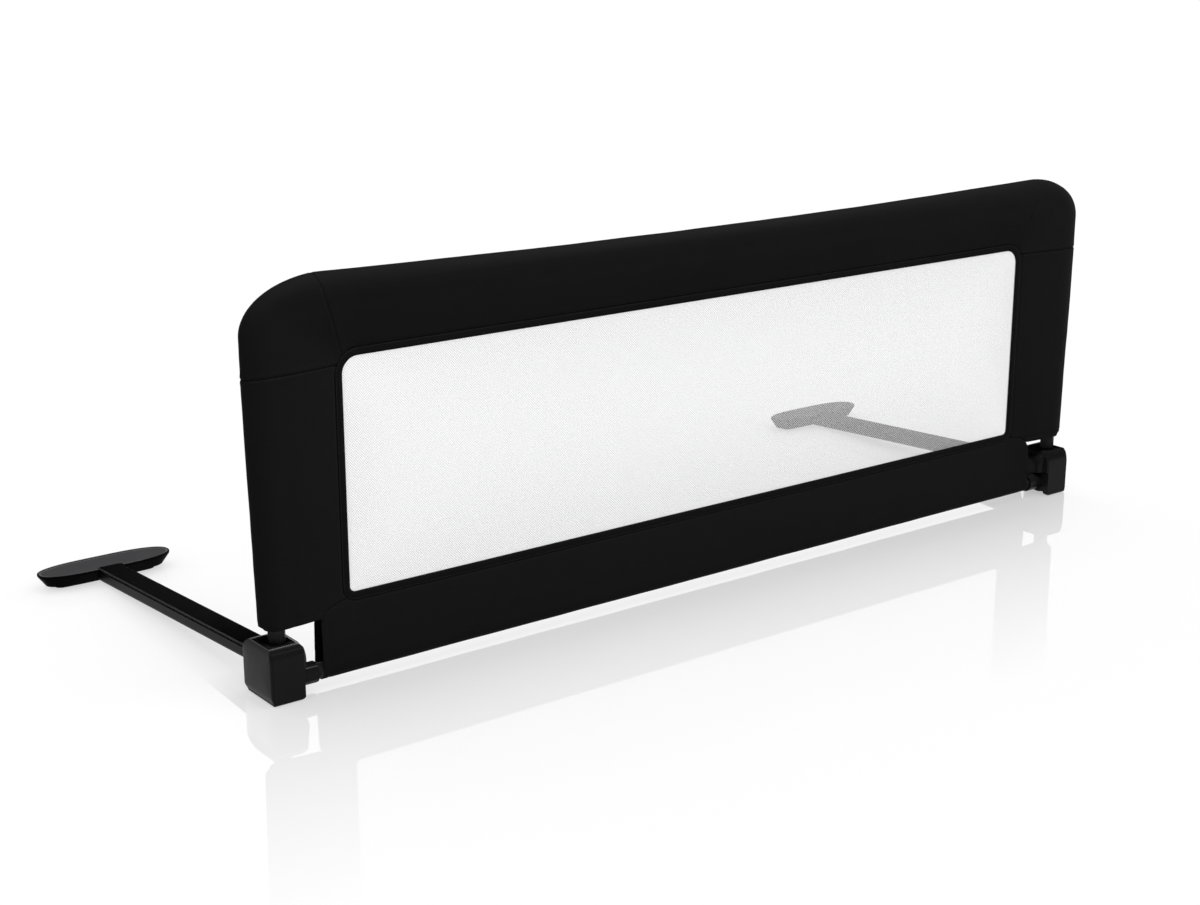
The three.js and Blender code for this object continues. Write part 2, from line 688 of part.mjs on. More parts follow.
// Foot plate and rubber sole

const footCentreY = footFrontY + footWidth / 2;

function oval(length, width, z) {
  const round = width / 2;
  const straight = length / 2 - round;
  const stepsPerEnd = roundSteps * 3;
  const ends = [{ x: straight, from: -Math.PI / 2 }, { x: -straight, from: Math.PI / 2 }];
  return ends.flatMap(({ x, from }) => Array.from({ length: stepsPerEnd + 1 }, (_, i) => {
    const turn = from + Math.PI * i / stepsPerEnd;
    return new THREE.Vector3(legOffset + x + round * Math.cos(turn), footCentreY + round * Math.sin(turn), z);
  }));
}

function footPlate() {
  const lowZ = soleThickness + seatGap;
  const lipZ = footTopZ - footWall;
  const outer = loft([
    oval(footLength - 2 * footTaper, footWidth - 2 * footTaper, lowZ),
    oval(footLength, footWidth, lipZ),
    oval(footLength, footWidth, footTopZ),
  ]);
  const inset = 2 * footWall;
  const inside = loft([
    oval(footLength - 2 * footTaper - inset, footWidth - 2 * footTaper - inset, lowZ - overrun),
    oval(footLength - 2 * footTaper - inset, footWidth - 2 * footTaper - inset, lowZ),
    oval(footLength - inset, footWidth - inset, lipZ),
  ]);
  const rim = 2 * footRimWidth;
  const tray = loft([
    oval(footLength - rim, footWidth - rim, footTopZ - footRimDepth),
    oval(footLength - rim, footWidth - rim, footTopZ + overrun),
  ]);
  const ribGap = footLength / (footRibs + 1);
  const ribs = Array.from({ length: footRibs }, (_, i) => {
    const x = legOffset - footLength / 2 + ribGap * (i + 1);
    return block([x - footRibThickness / 2, x + footRibThickness / 2], [footFrontY, footFrontY + footWidth],
      [lowZ, footTopZ - footWall / 2]);
  });
  const spine = block([legOffset - footLength / 2, legOffset + footLength / 2],
    [footCentreY - footRibThickness / 2, footCentreY + footRibThickness / 2],
    [lowZ, footTopZ - footWall / 2]);
  const crossWall = block([legOuterSide - footWall, legInnerSide + footWall],
    [legEndY, legEndY + footBlock], [lowZ, footTopZ - footWall / 2]);
  const filled = joined(...ribs, spine, crossWall).intersect(outer);
  const tongue = sloped(roundedBar(...plugSides, plugHalf, legRound - legWall, legEnd - tongueLength,
    legEnd + footBlock / 2));
  const notch = block([legOuterSide - seatGap, legInnerSide + seatGap],
    [footFrontY - overrun, legEndY], [-overrun, footTopZ + overrun]);
  const plate = without(joined(without(outer, inside), filled), tray, notch);
  return without(joined(plate, tongue), sloped(legScrewCut(footScrewY, legScrewRadius + seatGap)));
}

placeSide('foot_plate', footPlate(), 'foot');
placeSide('foot_sole', loft([
  oval(soleLength - 2 * footRimWidth, soleWidth - 2 * footRimWidth, 0),
  oval(soleLength, soleWidth, footRimWidth),
  oval(soleLength, soleWidth, soleThickness),
]), 'rubber');

// Tubes of the guard

function tubeRoute(extra) {
  const bendCentre = new THREE.Vector3(bendRadius, 0, topTubeZ - bendRadius);
  const bend = Array.from({ length: bendSteps + 1 }, (_, i) => {
    const turn = Math.PI / 2 * i / bendSteps;
    const arm = new THREE.Vector3(-Math.cos(turn), 0, Math.sin(turn));
    return arm.multiplyScalar(bendRadius).add(bendCentre);
  });
  return [new THREE.Vector3(0, 0, uprightFootZ - extra), ...bend,
    new THREE.Vector3(cornerReach + extra, 0, topTubeZ)];
}

const uprightBoreRadius = tubeRadius - tubeWall;
const spigotRadius = uprightBoreRadius - seatGap;
const crossbarSpigotRadius = crossbarRadius - crossbarWall - seatGap;

// The hole for a spring button at x that points up or down in a level tube at height z
function buttonHole(x, z, up) {
  return rod(buttonRadius + seatGap, [x, 0, z], [x, 0, z + up * tubeOuter]);
}

function uprightTube() {
  const bore = pipe(tubeRoute(overrun), uprightBoreRadius);
  const lowButton = rod(buttonRadius + seatGap, [0, 0, buttonZ], [0, tubeOuter, buttonZ]);
  return without(pipe(tubeRoute(0), tubeRadius), bore, lowButton,
    buttonHole(cornerReach - buttonPitch / 2, topTubeZ, -1));
}

function uprightPlug() {
  const low = uprightFootZ - seatGap;
  const tip = pivotZ + knuckleRadius + toothGap;
  const head = tubeRadius - tubeWall + seatGap;
  const drop = Math.min(casingWall / 2, low - tip);
  return joined(
    rod(spigotRadius, [0, 0, low - drop], [0, 0, buttonZ + buttonRadius * 3]),
    rod(head, [0, 0, low - drop], [0, 0, low]),
    block([-toothWidth / 2, toothWidth / 2], [pivotY - toothDepth / 2, pivotY + toothDepth / 2], [tip, low]),
    rod(buttonRadius, [0, 0, buttonZ], [0, tubeRadius + buttonStandout, buttonZ]),
  );
}

placeSide('upright_tube', uprightTube(), 'tube');
placeSide('upright_plug', uprightPlug(), 'inner');

function straightTube(x0, x1, z, outer, wall, holes) {
  const body = rod(outer / 2, [x0, 0, z], [x1, 0, z]);
  const bore = rod(outer / 2 - wall, [x0 - overrun, 0, z], [x1 + overrun, 0, z]);
  return without(body, bore, ...holes);
}

function spigot(x, z, radius, outer, up) {
  const ends = [x - spigotLength / 2, x + spigotLength / 2];
  const shell = without(rod(radius, [ends[0], 0, z], [ends[1], 0, z]),
    rod(radius - spigotWall, [ends[0] - overrun, 0, z], [ends[1] + overrun, 0, z]));
  const buttons = [-1, 1].map((way) => {
    const at = x + way * buttonPitch / 2;
    const root = z + up * (radius - spigotWall / 2);
    return rod(buttonRadius, [at, 0, root], [at, 0, z + up * (outer / 2 + buttonStandout)]);
  });
  return joined(shell, ...buttons);
}

const topJoint = halfPitch - cornerReach;
place('top_tube', straightTube(-topJoint + seatGap, topJoint - seatGap, topTubeZ, tubeOuter, tubeWall,
  [-1, 1].map((way) => buttonHole(way * (topJoint - buttonPitch / 2), topTubeZ, -1))), 'tube');
placeSide('top_joint_spigot', spigot(cornerReach, topTubeZ, spigotRadius, tubeOuter, -1), 'inner');

// Crossbar halves, their joint, and the screws that hold them in the casings
const crossbarMiddle = halfPitch - seatGap / 2;
const socketScrewCut = rod(screwRadius + seatGap, [socketScrewX, 0, crossbarZ],
  [socketScrewX, crossbarOuter, crossbarZ]);
placeSide('crossbar', straightTube(crossbarInsert, crossbarMiddle, crossbarZ, crossbarOuter, crossbarWall,
  [buttonHole(halfPitch - buttonPitch / 2, crossbarZ, 1), socketScrewCut]), 'tube');
place('crossbar_spigot', spigot(0, crossbarZ, crossbarSpigotRadius, crossbarOuter, 1), 'inner');
placeSide('crossbar_screw', joined(
  rod(screwRadius, [socketScrewX, crossbarRadius - crossbarWall * 2, crossbarZ],
    [socketScrewX, socketRadius + screwHeadHeight, crossbarZ]),
  rod(screwHeadRadius, [socketScrewX, socketRadius + seatGap, crossbarZ],
    [socketScrewX, socketRadius + seatGap + screwHeadHeight, crossbarZ]),
), 'steel');

// Fabric cover

const radians = THREE.MathUtils.degToRad;
const edgeLine = bindingOutside + seamGap;
const edgeReach = bindingWidth + seamGap;
const topCorner = new THREE.Vector2(windowHalfWidth - windowTopRound, windowTopZ - windowTopRound);
const lowCorner = new THREE.Vector2(windowHalfWidth - windowLowRound, windowLowZ + windowLowRound);
const topCornerReach = windowTopRound + edgeReach;
const lowCornerReach = windowLowRound + edgeReach;

// How far it is from a point, along a direction, to a rounded outline of the given side, top and
// radius. Points of the cover are given as distance from the middle and height.
function toOutline(from, way, side, top, radius) {
  const toSide = (side - from.x) / way.x;
  if (from.y + toSide * way.y <= top - radius) return toSide;
  const toTop = (top - from.y) / way.y;
  if (from.x + toTop * way.x <= side - radius) return toTop;
  const offset = new THREE.Vector2(side - radius, top - radius).sub(from);
  const along = offset.dot(way);
  return along + Math.sqrt(along ** 2 - offset.lengthSq() + radius ** 2);
}

// One section of the left side of the cover, from the window's edge to the outside: thin at the edge,
// full round the tube, and closed beyond it. The inset draws the hollow inside the cloth.
function coverRing(edge, outer, inset, options = {}) {
  const { shift = 0, half = sleeveHalfThickness, edgeHalf = coverEdgeHalf, reach } = options;
  const way = outer.clone().sub(edge).normalize();
  const toTube = reach ?? toOutline(edge, way, halfPitch, topTubeZ, bendRadius);
  const beyond = outer.distanceTo(edge) - toTube - inset;
  const middle = edgeHalf + (half - edgeHalf) * bellyShare - inset;
  const thin = edgeHalf - inset;
  const start = inset ? hemWidth : 0;
  const full = half - inset;
  const midway = (start + toTube) / 2;
  const arcSteps = roundSteps * 2;
  const arc = Array.from({ length: arcSteps + 1 }, (_, i) => {
    const turn = Math.PI * (i / arcSteps - 0.5);
    return [toTube + beyond * Math.cos(turn), full * Math.sin(turn)];
  });
  const rows = [[start, -thin], [midway, -middle], ...arc, [midway, middle], [start, thin]];
  return rows.map(([along, y]) => new THREE.Vector3(
    -(edge.x + way.x * along + way.y * shift), y, edge.y + way.y * along - way.x * shift));
}

function roundCorner(corner, reach, degrees) {
  const way = new THREE.Vector2(Math.cos(radians(degrees)), Math.sin(radians(degrees)));
  return way.multiplyScalar(reach).add(corner);
}

// Where the window's edge lies at a height, on the side
function edgeAt(z) {
  const lowest = roundCorner(lowCorner, lowCornerReach, -bandSeamTurn).y;
  const into = Math.max(z - topCorner.y, lowCorner.y - Math.max(z, lowest), 0);
  const reach = z > topCorner.y ? topCornerReach : lowCornerReach;
  return edgeLine - reach + Math.sqrt(reach ** 2 - into ** 2);
}

function levelRing(z, outerX, inset) {
  return coverRing(new THREE.Vector2(edgeAt(z), z), new THREE.Vector2(outerX, z), inset);
}

// The cover's outer corner, as a share of the way from the side seam to the top seam
function outerCorner(way) {
  const rise = coverCornerTopZ - coverCornerRound - seamZ;
  const bend = coverCornerRound * Math.PI / 2;
  const run = sleeveOuterHigh - coverCornerRound - topSeamX;
  const along = way * (rise + bend + run) - rise;
  if (along < 0) return new THREE.Vector2(sleeveOuterHigh, coverCornerTopZ - coverCornerRound + along);
  const turn = Math.min(along, bend) / coverCornerRound;
  const beyond = Math.max(along - bend, 0);
  return new THREE.Vector2(
    sleeveOuterHigh - coverCornerRound * (1 - Math.cos(turn)) - beyond,
    coverCornerTopZ - coverCornerRound * (1 - Math.sin(turn)),
  );
}

function cornerRing(way, inset, shift = 0) {
  const firstTurn = THREE.MathUtils.radToDeg(Math.asin((seamZ - topCorner.y) / topCornerReach));
  const degrees = firstTurn + (edgeSeamTurn - firstTurn) * way;
  return coverRing(roundCorner(topCorner, topCornerReach, degrees), outerCorner(way), inset, { shift });
}

// A piece of cloth sewn to a tunnel: its outside less its hollow
function tunnel(ringsFor) {
  return without(loft(ringsFor(0)), loft(ringsFor(clothThickness)));
}

function mirrored(body) {
  return solid(flipped(geometryOf(body).clone().scale(-1, 1, 1)));
}

function placePair(name, body, finish) {
  place(`${name}_left`, body, finish);
  place(`${name}_right`, mirrored(body), finish);
}

// How far a hollow runs past its cloth, so that the tunnel is open at both ends
const past = (inset) => (inset ? overrun / 2 : 0);

// The top of the bottom band beyond the window: a seam that curves down from the binding to the band's end
function bandTop(x) {
  const start = roundCorner(lowCorner, lowCornerReach, -bandSeamTurn);
  const run = (x - start.x) / (bandHalfLength - start.x);
  return bandEndZ + (start.y - bandEndZ) * Math.sqrt(Math.max(1 - run ** 2, 0));
}

// Distances from the middle, from the binding's corner to the band's end
function bandSeamPlaces() {
  const start = roundCorner(lowCorner, lowCornerReach, -bandSeamTurn).x;
  return bandSeamShares.map((share) => start + (bandHalfLength - start) * share);
}

function sideSleeve() {
  const lowest = sleeveHemZ - overrun;
  const highest = seamZ - seamGap / 2;
  const hemOuter = halfPitch + sleeveHemReach;
  const blank = tunnel((inset) => [
    levelRing(lowest - past(inset), hemOuter, inset),
    levelRing(sleeveHemZ, hemOuter, inset),
    levelRing(sleeveHemZ + sleeveGather, sleeveOuterLow, inset),
    ...[1, 1 / 2, 0].map((share) => levelRing(
      roundCorner(lowCorner, lowCornerReach, -bandSeamTurn * share).y, sleeveOuterLow, inset)),
    levelRing(topCorner.y, sleeveOuterHigh, inset),
    levelRing(highest, sleeveOuterHigh, inset),
    ...(inset ? [levelRing(highest + past(inset), sleeveOuterHigh, inset)] : []),
  ]);
  const seam = bandSeamPlaces().map((x) => [-x, Math.max(bandTop(x) + seamGap, sleeveHemZ)]);
  const below = prismY(outline([
    [-sleeveOuterHigh - overrun, lowest - overrun],
    [-edgeLine + lowCornerReach, lowest - overrun],
    [-edgeLine + lowCornerReach, seam[0][1]],
    ...seam,
    [-sleeveOuterHigh - overrun, sleeveHemZ],
  ]), -sleeveHalfThickness - overrun, sleeveHalfThickness + overrun);
  return without(blank, below);
}

function cornerPiece() {
  const ways = Array.from({ length: bendSteps + 1 }, (_, i) => i / bendSteps);
  return tunnel((inset) => [
    coverRing(new THREE.Vector2(edgeAt(seamZ), seamZ + seamGap / 2 - past(inset)),
      new THREE.Vector2(sleeveOuterHigh, seamZ + seamGap / 2 - past(inset)), inset),
    ...ways.slice(1, -1).map((way) => cornerRing(way, inset)),
    cornerRing(1, inset, seamGap / 2 - past(inset)),
  ]);
}

function topBand() {
  const topAt = (x) => {
    const fullness = Math.min(x / topSeamX, 1) ** 2;
    return coverMiddleTopZ + (coverCornerTopZ - coverMiddleTopZ) * fullness;
  };
  const leaning = (way, inset, shift) => {
    const degrees = edgeSeamTurn + (90 - edgeSeamTurn) * way;
    const x = topSeamX + (topCorner.x - topSeamX) * way;
    const edge = roundCorner(topCorner, topCornerReach, degrees);
    return coverRing(edge, new THREE.Vector2(x, topAt(x)), inset, { shift });
  };
  const upright = (x, inset) => coverRing(new THREE.Vector2(x, topCorner.y + topCornerReach),
    new THREE.Vector2(x, topAt(Math.abs(x))), inset, { reach: topTubeZ - topCorner.y - topCornerReach });
  const otherSide = (ring) => ring.map((p) => new THREE.Vector3(-p.x, p.y, p.z));
  const shares = Array.from({ length: bandStations }, (_, i) => 1 - 2 * i / (bandStations - 1));
  const places = shares.map((share) => topCorner.x * share);
  return tunnel((inset) => {
    const leftEnd = [leaning(0, inset, past(inset) - seamGap / 2), leaning(1 / 2, inset)];
    return [...leftEnd, ...places.map((x) => upright(x, inset)), ...leftEnd.toReversed().map(otherSide)];
  });
}

function bottomBand() {
  const half = crossbarRadius + coverChannelGap + clothThickness;
  const start = roundCorner(lowCorner, lowCornerReach, -bandSeamTurn).x;
  const station = (x, edgeZ, inset) => {
    const belly = 2 * bellyShare * Math.max(x - start, 0) / (halfPitch - start);
    const edgeHalf = coverEdgeHalf + (sleeveHalfThickness - coverEdgeHalf) * belly;
    const outer = new THREE.Vector2(x, crossbarZ - half);
    const reach = edgeZ - crossbarZ;
    return coverRing(new THREE.Vector2(x, edgeZ), outer, inset, { half, edgeHalf, reach });
  };
  const otherSide = (ring) => ring.map((p) => new THREE.Vector3(-p.x, p.y, p.z));
  return tunnel((inset) => {
    const seam = bandSeamPlaces().toReversed().map((x) => station(x, bandTop(x), inset));
    const end = inset ? [station(bandHalfLength + past(inset), bandEndZ, inset)] : [];
    const turns = [(90 + bandSeamTurn) / 2, 90]
      .map((degrees) => roundCorner(lowCorner, lowCornerReach, -degrees));
    const side = [...end, ...seam, ...turns.map((point) => station(point.x, point.y, inset))];
    return [...side, ...side.toReversed().map(otherSide)];
  });
}

placePair('side_sleeve', sideSleeve(), 'fabric');
placePair('corner_piece', cornerPiece(), 'fabric');
place('top_band', topBand(), 'fabric');
place('bottom_band', bottomBand(), 'fabric');

// Binding tape round the window, and the net in it

function windowShape(grow) {
  const halfWidth = windowHalfWidth + grow;
  return outline([
    [-halfWidth, windowLowZ - grow, windowLowRound + grow],
    [halfWidth, windowLowZ - grow, windowLowRound + grow],
    [halfWidth, windowTopZ + grow, windowTopRound + grow],
    [-halfWidth, windowTopZ + grow, windowTopRound + grow],
  ]);
}

place('window_binding', without(
  prismY(windowShape(bindingWidth), -bindingThickness / 2, bindingThickness / 2),
  prismY(windowShape(0), -bindingThickness, bindingThickness),
), 'binding');

function windowNet() {
  const inset = windowTopRound / 2;
  const [width, height] = [2 * (windowHalfWidth - inset), windowTopZ - windowLowZ - 2 * inset];
  const [stepX, stepZ] = [width / netGapsAcross, height / netGapsUp];
  const holes = [];
  for (let i = 0; i < netGapsAcross; i++) {
    for (let k = 0; k < netGapsUp; k++) {
      const x = -width / 2 + i * stepX + netCord / 2;
      const z = windowLowZ + inset + k * stepZ + netCord / 2;
      holes.push(block([x, x + stepX - netCord], [-netThickness, netThickness], [z, z + stepZ - netCord]));
    }
  }
  return without(prismY(windowShape(-seamGap), -netThickness / 2, netThickness / 2), ...holes);
}

place('window_net', windowNet(), 'net');

export default guardRail;
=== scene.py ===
"""Folding bed guard rail: cloth cover, net, moulded casings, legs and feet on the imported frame.

Sizes are in millimetres, with +Y towards the bed from the plane of the tubes, and become metres in at().
"""

import math

import bmesh
import bpy
from mathutils import Matrix, Vector, noise


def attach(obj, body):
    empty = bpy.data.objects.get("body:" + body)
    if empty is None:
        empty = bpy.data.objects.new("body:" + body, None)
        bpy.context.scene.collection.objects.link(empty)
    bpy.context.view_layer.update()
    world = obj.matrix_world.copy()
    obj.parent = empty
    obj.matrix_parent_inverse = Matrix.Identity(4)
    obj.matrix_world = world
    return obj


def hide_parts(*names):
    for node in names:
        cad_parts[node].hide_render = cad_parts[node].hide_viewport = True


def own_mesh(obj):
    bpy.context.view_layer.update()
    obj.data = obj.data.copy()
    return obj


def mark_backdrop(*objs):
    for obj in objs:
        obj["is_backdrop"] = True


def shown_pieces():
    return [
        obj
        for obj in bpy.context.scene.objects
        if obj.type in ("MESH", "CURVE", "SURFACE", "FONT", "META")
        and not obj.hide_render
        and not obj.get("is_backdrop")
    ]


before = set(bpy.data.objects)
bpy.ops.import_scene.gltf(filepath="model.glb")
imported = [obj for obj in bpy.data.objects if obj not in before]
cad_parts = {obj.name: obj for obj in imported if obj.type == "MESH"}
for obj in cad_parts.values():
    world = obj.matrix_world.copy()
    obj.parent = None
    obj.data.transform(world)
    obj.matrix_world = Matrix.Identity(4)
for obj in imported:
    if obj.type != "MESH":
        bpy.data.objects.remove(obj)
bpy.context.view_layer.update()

MM = 0.001
PANEL_Y = 275.55  # the tubes' plane in front of the frame's origin

# Tubes
HALF_PITCH = 715.0
TUBE_TOP_Z = 503.5
BEND_RADIUS = 45.0
CROSSBAR_Z = 22.0

# Window, its binding and the cover's edge
WINDOW_HALF = 610.0
WINDOW_LOW = 115.0
WINDOW_TOP = 417.0
TOP_ROUND = 22.0
LOW_ROUND = 8.0
BINDING_WIDTH = 11.0
SEAM_GAP = 0.3
EDGE_REACH = BINDING_WIDTH + SEAM_GAP
EDGE_HALF = 2.3  # half thickness of the cover beside the binding
TOP_CORNER = Vector((WINDOW_HALF - TOP_ROUND, WINDOW_TOP - TOP_ROUND))
LOW_CORNER = Vector((WINDOW_HALF - LOW_ROUND, WINDOW_LOW + LOW_ROUND))
TOP_REACH = TOP_ROUND + EDGE_REACH
LOW_REACH = LOW_ROUND + EDGE_REACH

# Cover
HEM_Z = 92.5
HEM_RIDDEN = 3.5  # the right sleeve has ridden up its tube
HEM_REACH = 16.5  # outer edge of the drawn-in hem beyond the upright's centre
GATHER = 8.0  # height over which the hem is drawn in
SEAM_Z = 409.0  # level seam between the side sleeve and the corner piece
TOP_SEAM_TURN = 48.0  # the slanting seam starts this far round the window's corner, in degrees
TOP_SEAM_X = 646.0  # and ends here
SLEEVE_HALF = 14.0  # half thickness over the uprights
SLEEVE_SIDE_LOW = 739.5
SLEEVE_SIDE_HIGH = 745.5
CORNER_TOP_Z = 526.0
MIDDLE_TOP_Z = 517.5
CORNER_RISE = 67.0
CORNER_RUN = 115.0  # the top corners are wider than they are high
BAND_HALF_LENGTH = 657.5
BAND_END_Z = 84.5
BAND_SEAM_TURN = 45.0
BAND_HALF = 12.0  # half thickness over the crossbar
BELLY = 1.6  # how quickly the cover swells from its edge to the tube
CLOTH = 1.0  # thickness
TUCK = 3.0  # the cover's edge runs this far under the binding
FREE_TUCK = 0.2  # the same where cloth meets cloth
HEM_WIDTH = 9.0  # from the hem's edge to its seam
CORNER_SPAN = 187.0  # along the middle of the corner piece
SLEEVE_STEP = 4.5  # between the columns of a side sleeve or a corner piece
BAND_STEP = 5.0  # the same for the bands
NEAR = (0.0, 0.5, 1.1, 1.9, 3.0, 4.5, 6.5, 9.0)  # closer columns beside a sheet's ends
SEAM_REACH = 24.0  # a seam moves the cloth this far to each side

# Feet, in metres for the shader
FOOT_CENTRE = (0.7055, 0.27245)
FOOT_HALF_LENGTH = 0.1
FOOT_HALF_WIDTH = 0.0295
FOOT_STRAIGHT = 0.02  # the sides are straight this far to each side of the leg
FOOT_FULLNESS = 2.4  # 2 would be an ellipse
FOOT_CUT = 0.008  # between the cuts that let the foot bend
TIP_SHARE = 0.6
FACING_UP = 0.4  # least upward part of a top face's normal
# The foot's top is painted near black along its outer rim as shade, and light on a line just inside as a highlight
RIM_WIDTH = 0.0026
PAINTED_HIGHLIGHT_EDGE = 0.0048  # the light line painted inside the rim as a highlight lies between the rim and this

SIDES = (("left", -1), ("right", 1))


def at(x, y, z):
    """A place in the frame, in metres."""
    return Vector((x, y - PANEL_Y, z)) * MM


def smooth(share):
    """Eases a share of 0 to 1 in and out."""
    share = min(max(share, 0.0), 1.0)
    return share * share * (3 - 2 * share)


def bell(distance, width):
    """A soft bell, 1 at no distance."""
    return math.exp(-((distance / width) ** 2))


def uneven(x, y, z):
    return noise.noise(Vector((x, y, z)))


def direction(degrees):
    """Unit vector at an angle in the plane of the cover."""
    turn = math.radians(degrees)
    return Vector((math.cos(turn), math.sin(turn)))


# Materials


def group(name, inputs, outputs):
    """An empty shader group with its sockets."""
    tree = bpy.data.node_groups.new(name, "ShaderNodeTree")
    for label, kind, value in inputs:
        socket = tree.interface.new_socket(label, in_out="INPUT", socket_type=f"NodeSocket{kind}")
        if value is not None:
            socket.default_value = value
    for label, kind in outputs:
        tree.interface.new_socket(label, in_out="OUTPUT", socket_type=f"NodeSocket{kind}")
    return tree, tree.nodes.new("NodeGroupInput"), tree.nodes.new("NodeGroupOutput")


def feed(tree, socket, value):
    """Links a socket to another's output, or sets its number or colour."""
    if isinstance(value, bpy.types.NodeSocket):
        tree.links.new(value, socket)
    elif isinstance(value, tuple):
        socket.default_value = (*value, 1.0)
    else:
        socket.default_value = value


def set_inputs(node, values):
    for label, value in values.items():
        node.inputs[label].default_value = value


def math_node(tree, operation, *values):
    node = tree.nodes.new("ShaderNodeMath")
    node.operation = operation
    for socket, value in zip(node.inputs, values):
        feed(tree, socket, value)
    return node.outputs[0]


def noise_node(tree, vector, scale, detail=2.0, roughness=0.5):
    node = tree.nodes.new("ShaderNodeTexNoise")
    tree.links.new(vector, node.inputs["Vector"])
    feed(tree, node.inputs["Scale"], scale)
    set_inputs(node, {"Detail": detail, "Roughness": roughness})
    return node.outputs["Fac"]


def mixed(tree, share, low, high, kind="FLOAT"):
    """A value between low and high."""
    node = tree.nodes.new("ShaderNodeMix")
    node.data_type = kind
    for label, value in (("Factor", share), ("A", low), ("B", high)):
        feed(tree, node.inputs[label], value)
    return node.outputs["Result"]


def mix_colour(tree, share, low, high):
    return mixed(tree, share, low, high, "RGBA")


SLUB_STRETCH = (40.0, 900.0, 1.0)  # slubs are long along the thread and thin across it
UNDER, OVER = 0.35, 1.0  # exponents of a thread's rounding: it looks flatter where it runs under


def make_weave_group():
    """Plain weave: threads of one pitch that pass over and under each other."""
    tree, given, result = group(
        "plain weave",
        [("Vector", "Vector", None), ("Pitch", "Float", 0.0006)],
        [("Height", "Float"), ("Gap", "Float"), ("Slub", "Float")],
    )
    turns = math_node(tree, "DIVIDE", math.pi, given.outputs["Pitch"])
    scaled = tree.nodes.new("ShaderNodeVectorMath")
    scaled.operation = "SCALE"
    tree.links.new(given.outputs["Vector"], scaled.inputs[0])
    tree.links.new(turns, scaled.inputs["Scale"])
    parts = tree.nodes.new("ShaderNodeSeparateXYZ")
    tree.links.new(scaled.outputs[0], parts.inputs[0])
    across = math_node(tree, "SINE", parts.outputs["X"])
    along = math_node(tree, "SINE", parts.outputs["Y"])
    over = math_node(tree, "GREATER_THAN", math_node(tree, "MULTIPLY", across, along), 0.0)
    warp = math_node(tree, "POWER", math_node(tree, "ABSOLUTE", across), mixed(tree, over, UNDER, OVER))
    weft = math_node(tree, "POWER", math_node(tree, "ABSOLUTE", along), mixed(tree, over, OVER, UNDER))
    height = math_node(tree, "MULTIPLY", warp, weft)
    tree.links.new(height, result.inputs["Height"])
    # Gap marks where the threads part, which the cloth finishes darken as painted shade
    filled = math_node(tree, "SMOOTH_MIN", math_node(tree, "MULTIPLY", height, 3.0), 1.0, 0.2)
    tree.links.new(math_node(tree, "SUBTRACT", 1.0, filled), result.inputs["Gap"])
    stretched = tree.nodes.new("ShaderNodeVectorMath")
    stretched.operation = "MULTIPLY"
    stretched.inputs[1].default_value = SLUB_STRETCH
    tree.links.new(given.outputs["Vector"], stretched.inputs[0])
    tree.links.new(noise_node(tree, stretched.outputs[0], scale=1.0, detail=3.0), result.inputs["Slub"])
    return tree


def make_grain_group():
    """Moulded or coated surface: fine grain, slow waviness and a little handling wear."""
    tree, given, result = group(
        "surface grain",
        [("Vector", "Vector", None), ("Grain", "Float", 1500.0), ("Roughness", "Float", 0.3),
         ("Spread", "Float", 0.08)],
        [("Height", "Float"), ("Roughness", "Float"), ("Wear", "Float")],
    )
    vector = given.outputs["Vector"]
    fine = noise_node(tree, vector, given.outputs["Grain"])
    wave = noise_node(tree, vector, scale=60.0, detail=1.0)
    height = math_node(tree, "ADD", fine, math_node(tree, "MULTIPLY", wave, 0.8))
    tree.links.new(height, result.inputs["Height"])
    patches = noise_node(tree, vector, scale=45.0, detail=4.0, roughness=0.6)
    offset = math_node(tree, "MULTIPLY", math_node(tree, "SUBTRACT", patches, 0.5), given.outputs["Spread"])
    tree.links.new(math_node(tree, "ADD", given.outputs["Roughness"], offset), result.inputs["Roughness"])
    scuffs = noise_node(tree, vector, scale=160.0, detail=6.0, roughness=0.7)
    worn = math_node(tree, "SMOOTH_MAX", math_node(tree, "SUBTRACT", scuffs, 0.62), 0.0, 0.05)
    tree.links.new(worn, result.inputs["Wear"])
    return tree


WEAVE = make_weave_group()
GRAIN = make_grain_group()
GAP_SHADE = 0.45  # painted shade between the threads: this share of the thread's darker colour
CLOTH_ROUGHNESS = 0.8


def new_material(name):
    material = bpy.data.materials.new(name)
    material.use_nodes = True
    tree = material.node_tree
    shader = tree.nodes["Principled BSDF"]
    coordinates = tree.nodes.new("ShaderNodeTexCoord")
    return material, tree, shader, coordinates


def placed_group(tree, source, vector, **values):
    """A group node in a material, with its own values."""
    node = tree.nodes.new("ShaderNodeGroup")
    node.node_tree = source
    tree.links.new(vector, node.inputs["Vector"])
    set_inputs(node, values)
    return node


def add_bump(tree, shader, height, strength, distance):
    node = tree.nodes.new("ShaderNodeBump")
    set_inputs(node, {"Strength": strength, "Distance": distance})
    tree.links.new(height, node.inputs["Height"])
    tree.links.new(node.outputs["Normal"], shader.inputs["Normal"])


def woven_finish(name, dark, light, pitch, sheen, depth):
    """Woven cloth, whose threads follow the piece's own UV map."""
    material, tree, shader, coordinates = new_material(name)
    weave = placed_group(tree, WEAVE, coordinates.outputs["UV"], Pitch=pitch)
    thread = mix_colour(tree, weave.outputs["Slub"], dark, light)
    # painted shade in the gaps between threads
    shaded_gaps = tuple(value * GAP_SHADE for value in dark)
    tree.links.new(mix_colour(tree, weave.outputs["Gap"], thread, shaded_gaps), shader.inputs["Base Color"])
    set_inputs(shader, {"Specular IOR Level": 0.06, "Sheen Weight": sheen, "Sheen Roughness": 0.45})
    slow = noise_node(tree, coordinates.outputs["Object"], scale=9.0, detail=3.0)
    tree.links.new(mixed(tree, slow, CLOTH_ROUGHNESS - 0.06, CLOTH_ROUGHNESS + 0.08), shader.inputs["Roughness"])
    add_bump(tree, shader, weave.outputs["Height"], strength=0.5, distance=depth)
    return material


